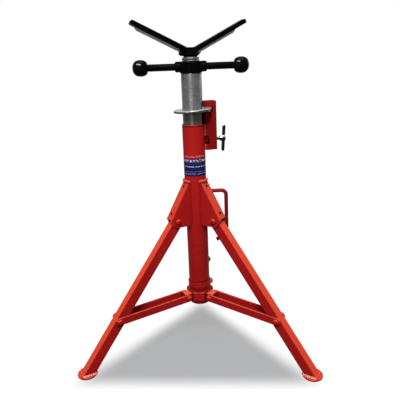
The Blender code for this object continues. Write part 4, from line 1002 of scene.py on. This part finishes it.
# Painted shade in the two holes of each bracket's web: a dark disc set just inside each hole
def makePaintedHoleShades():
    cap, thick = holeValues["cap"], holeValues["thick"]
    profile = [(0, 0), (cap, 0), (cap, -thick), (0, -thick)]
    for side in legAzimuths:
        for count, (reach, z) in enumerate(holeValues["places"]):
            place = (planeOf(side) @ Matrix.Translation((reach, 0, z))
                     @ Matrix.Rotation(pi / 2 - holeValues["lean"], 4, "Y")
                     @ Matrix.Translation((0, 0, -holeValues["depth"])))
            shape = turnedShape("holeDepth%s%d" % (side.title(), count), profile,
                                holeValues["steps"], place)
            dress(shape, "holeShade", "leg_bracket_" + side, False)


makePaintedHoleShades()

# Label round the column: plain broken lines in place of print
labelValues = {
    "bottom": 0.522, "top": 0.5703, "stripTop": 0.5815, "thick": 0.00014, "gap": 0.00002,
    "steps": 96, "roughness": 0.36, "specular": 0.05}
navyValues = {
    "Base": (0.013, 0.02, 0.135), "Patch": (0.01, 0.012, 0.085), "Cloud Scale": 60,
    "Speckle Scale": 500, "Amount": 0.8, "Speckle": 0.4}
labelRows = [
    (0.5765, 0.0024, 9, 0.52, 0.85, (0.85, 0.3, 0.24)),
    (0.5648, 0.0034, 7.5, 0.5, 0.95, (0.8, 0.8, 0.9)),
    (0.5556, 0.0009, 6, 0.45, 0.6, (0.42, 0.03, 0.12)),
    (0.5487, 0.0012, 4, 0.7, 0.9, (0.7, 0.7, 0.88)),
    (0.5352, 0.0008, 7, 0.58, 0.6, (0.3, 0.3, 0.55)),
    (0.529, 0.0016, 7.5, 0.52, 0.75, (0.42, 0.42, 0.66)),
]


def makeLabel():
    values = labelValues
    finishes["labelPrint"], tree, shader = newMaterial("labelPrint", navyValues["Base"])
    navy = placeGroup(tree, mottle, navyValues)["Color"]
    onStrip = calc(tree, "GREATER_THAN", axesOf(tree, placeOf(tree))["Z"], values["top"])
    colour = mixed(tree, onStrip, navy, paintLook["base"])
    feed(tree, shader, {
        "Base Color": addLines(tree, colour, labelRows), "Roughness": values["roughness"],
        "Specular IOR Level": values["specular"]})
    outer, inner = columnRadius + values["thick"], columnRadius + values["gap"]
    bottom, top = values["bottom"], values["stripTop"]
    band = turnedShape("labelBand", [(outer, top), (outer, bottom), (inner, bottom), (inner, top)],
                       values["steps"], atAxis(), True)
    dress(band, "labelPrint", "outer_column", False)


makeLabel()
print("label wrapped")

# Camera
cameraValues = {
    "place": (0.0852, -1.1605, 0.8096), "heading": 3.67, "pitch": -17.37, "roll": -2.15,
    "focalPixels": 430.54, "framePixels": 400, "sensor": 36}
cameraData = bpy.data.cameras.new("camera")
cameraData.sensor_width = cameraValues["sensor"]
cameraData.lens = (cameraValues["focalPixels"] / cameraValues["framePixels"]
                   * cameraValues["sensor"])
camera = newShape("camera", cameraData)
camera.matrix_world = (Matrix.Translation(standAxis + Vector(cameraValues["place"]))
                       @ Matrix.Rotation(radians(cameraValues["heading"]), 4, "Z")
                       @ Matrix.Rotation(radians(90 + cameraValues["pitch"]), 4, "X")
                       @ Matrix.Rotation(radians(cameraValues["roll"]), 4, "Z"))
bpy.context.scene.camera = camera

# Softboxes; "glint" lights only the ball knobs
lampValues = {
    "key": {"place": (-0.15, -2.1, 3.3), "aim": (0, 0, 0.45), "size": 0.8, "power": 106},
    "top": {"place": (0.0, -0.1, 3.4), "aim": (0, 0, 0.4), "size": 2.0, "power": 58},
    "front": {"place": (-0.5, -2.6, 1.0), "aim": (0, 0, 0.5), "size": 1.2, "power": 6},
    "edge": {"place": (1.6, 0.9, 1.3), "aim": (0, 0, 0.6), "size": 0.8, "power": 4},
    "glint": {"place": (-0.5, -0.9, 2.1), "aim": (0, 0, 0.8), "size": 1.1, "depth": 0.4,
              "power": 250, "only": ("ballKnobLeft", "ballKnobRight")},
}
for name, values in lampValues.items():
    lamp = bpy.data.lights.new(name + "Lamp", "AREA")
    lamp.shape = "RECTANGLE"
    lamp.size = values["size"]
    lamp.size_y = values.get("depth", values["size"])
    lamp.energy = values["power"]
    holder = newShape(name + "Lamp", lamp)
    if "only" in values:
        receivers = bpy.data.collections.new(name + "Receivers")
        for receiver in values["only"]:
            receivers.objects.link(bpy.data.objects[receiver])
        holder.light_linking.receiver_collection = receivers
    place = Vector(values["place"])
    turn = (place - Vector(values["aim"])).to_track_quat("Z", "Y")
    holder.matrix_world = Matrix.Translation(place) @ turn.to_matrix().to_4x4()

# World and floor
backdropValues = {
    "ambient": 0.025, "mirrored": 0.4, "floorColour": 0.1, "floorGlow": 0.95, "farGlow": 1.0,
    "farFrom": 0.8, "farTo": 2.5, "floorSize": 60, "floorDrop": 0.0002, "roughness": 0.9,
    "specular": 0.1}
# Painted shadow: a soft grey patch on the floor, from the column's foot out to the front feet
shadowPatchValues = {
    "apex": (-0.0092, 0.1961), "left": (-0.323, -0.2176), "right": (0.3132, -0.2112),
    "blurBack": 0.043, "blurFront": 0.047, "glow": 0.392, "tint": (0.056, 0.061, 0.07)}


def seenRays(tree):
    # 1 for the camera's rays, which meet a white studio, less for mirrored rays, 0 for diffuse ones
    rays = addNode(tree, "ShaderNodeLightPath").outputs
    mirrored = calc(tree, "MULTIPLY", rays["Is Glossy Ray"], backdropValues["mirrored"])
    return calc(tree, "MAXIMUM", rays["Is Camera Ray"], mirrored)


def shadowPatchMask(group, given):
    # 1 inside a triangle on the floor, fading over its three sides
    corners = [Vector((*shadowPatchValues[name], 0)) + standAxis for name in ("apex", "left", "right")]
    total = 1
    for index, blur in enumerate(("Edge Blur", "Front Blur", "Edge Blur")):
        start, end = corners[index], corners[(index + 1) % 3]
        inward = Vector((start.y - end.y, end.x - start.x, 0)).normalized()
        offset = vectorCalc(group, "SUBTRACT", placeOf(group), start)["Vector"]
        depth = vectorCalc(group, "DOT_PRODUCT", offset, inward)["Value"]
        outside = calc(group, "MULTIPLY", given[blur], -1)
        side = fade(group, depth, outside, given[blur], curve="SMOOTHERSTEP")
        total = calc(group, "MULTIPLY", total, side)
    return {"Mask": total}


def makeWorld():
    world = bpy.data.worlds.new("studio")
    bpy.context.scene.world = world
    world.use_nodes = True
    tree = world.node_tree
    strength = fade(tree, seenRays(tree), 0, 1, backdropValues["ambient"], 1)
    feed(tree, tree.nodes["Background"], {"Color": (1, 1, 1), "Strength": strength})


def makeFloor():
    values = backdropValues
    solid = bmesh.new()
    bmesh.ops.create_grid(solid, x_segments=1, y_segments=1, size=values["floorSize"])
    bmesh.ops.translate(solid, vec=(0, 0, -values["floorDrop"]), verts=solid.verts)
    floor = newShape("floor", meshFromSolid(solid, "floor"))
    material, tree, shader = newMaterial("paleFloor", (0.9, 0.9, 0.9))
    patch = newGroup("floorPatch", shadowPatchMask, {
        "Edge Blur": shadowPatchValues["blurBack"], "Front Blur": shadowPatchValues["blurFront"]})
    # painted shadow: inside the patch the floor glows less and takes a grey tint
    inShadowPatch = placeGroup(tree, patch)["Mask"]
    reach = vectorCalc(tree, "LENGTH", placeOf(tree))["Value"]
    openGlow = fade(tree, reach, values["farFrom"], values["farTo"], values["floorGlow"],
                    values["farGlow"])
    glow = fade(tree, inShadowPatch, 0, 1, openGlow, shadowPatchValues["glow"])
    feed(tree, shader, {
        "Base Color": mixed(tree, inShadowPatch, [values["floorColour"]] * 3, shadowPatchValues["tint"]),
        "Emission Color": (1, 1, 1),
        "Emission Strength": calc(tree, "MULTIPLY", seenRays(tree), glow),
        "Roughness": values["roughness"], "Specular IOR Level": values["specular"]})
    floor.data.materials.append(material)


makeWorld()
makeFloor()

bpy.context.scene.view_settings.view_transform = "Standard"
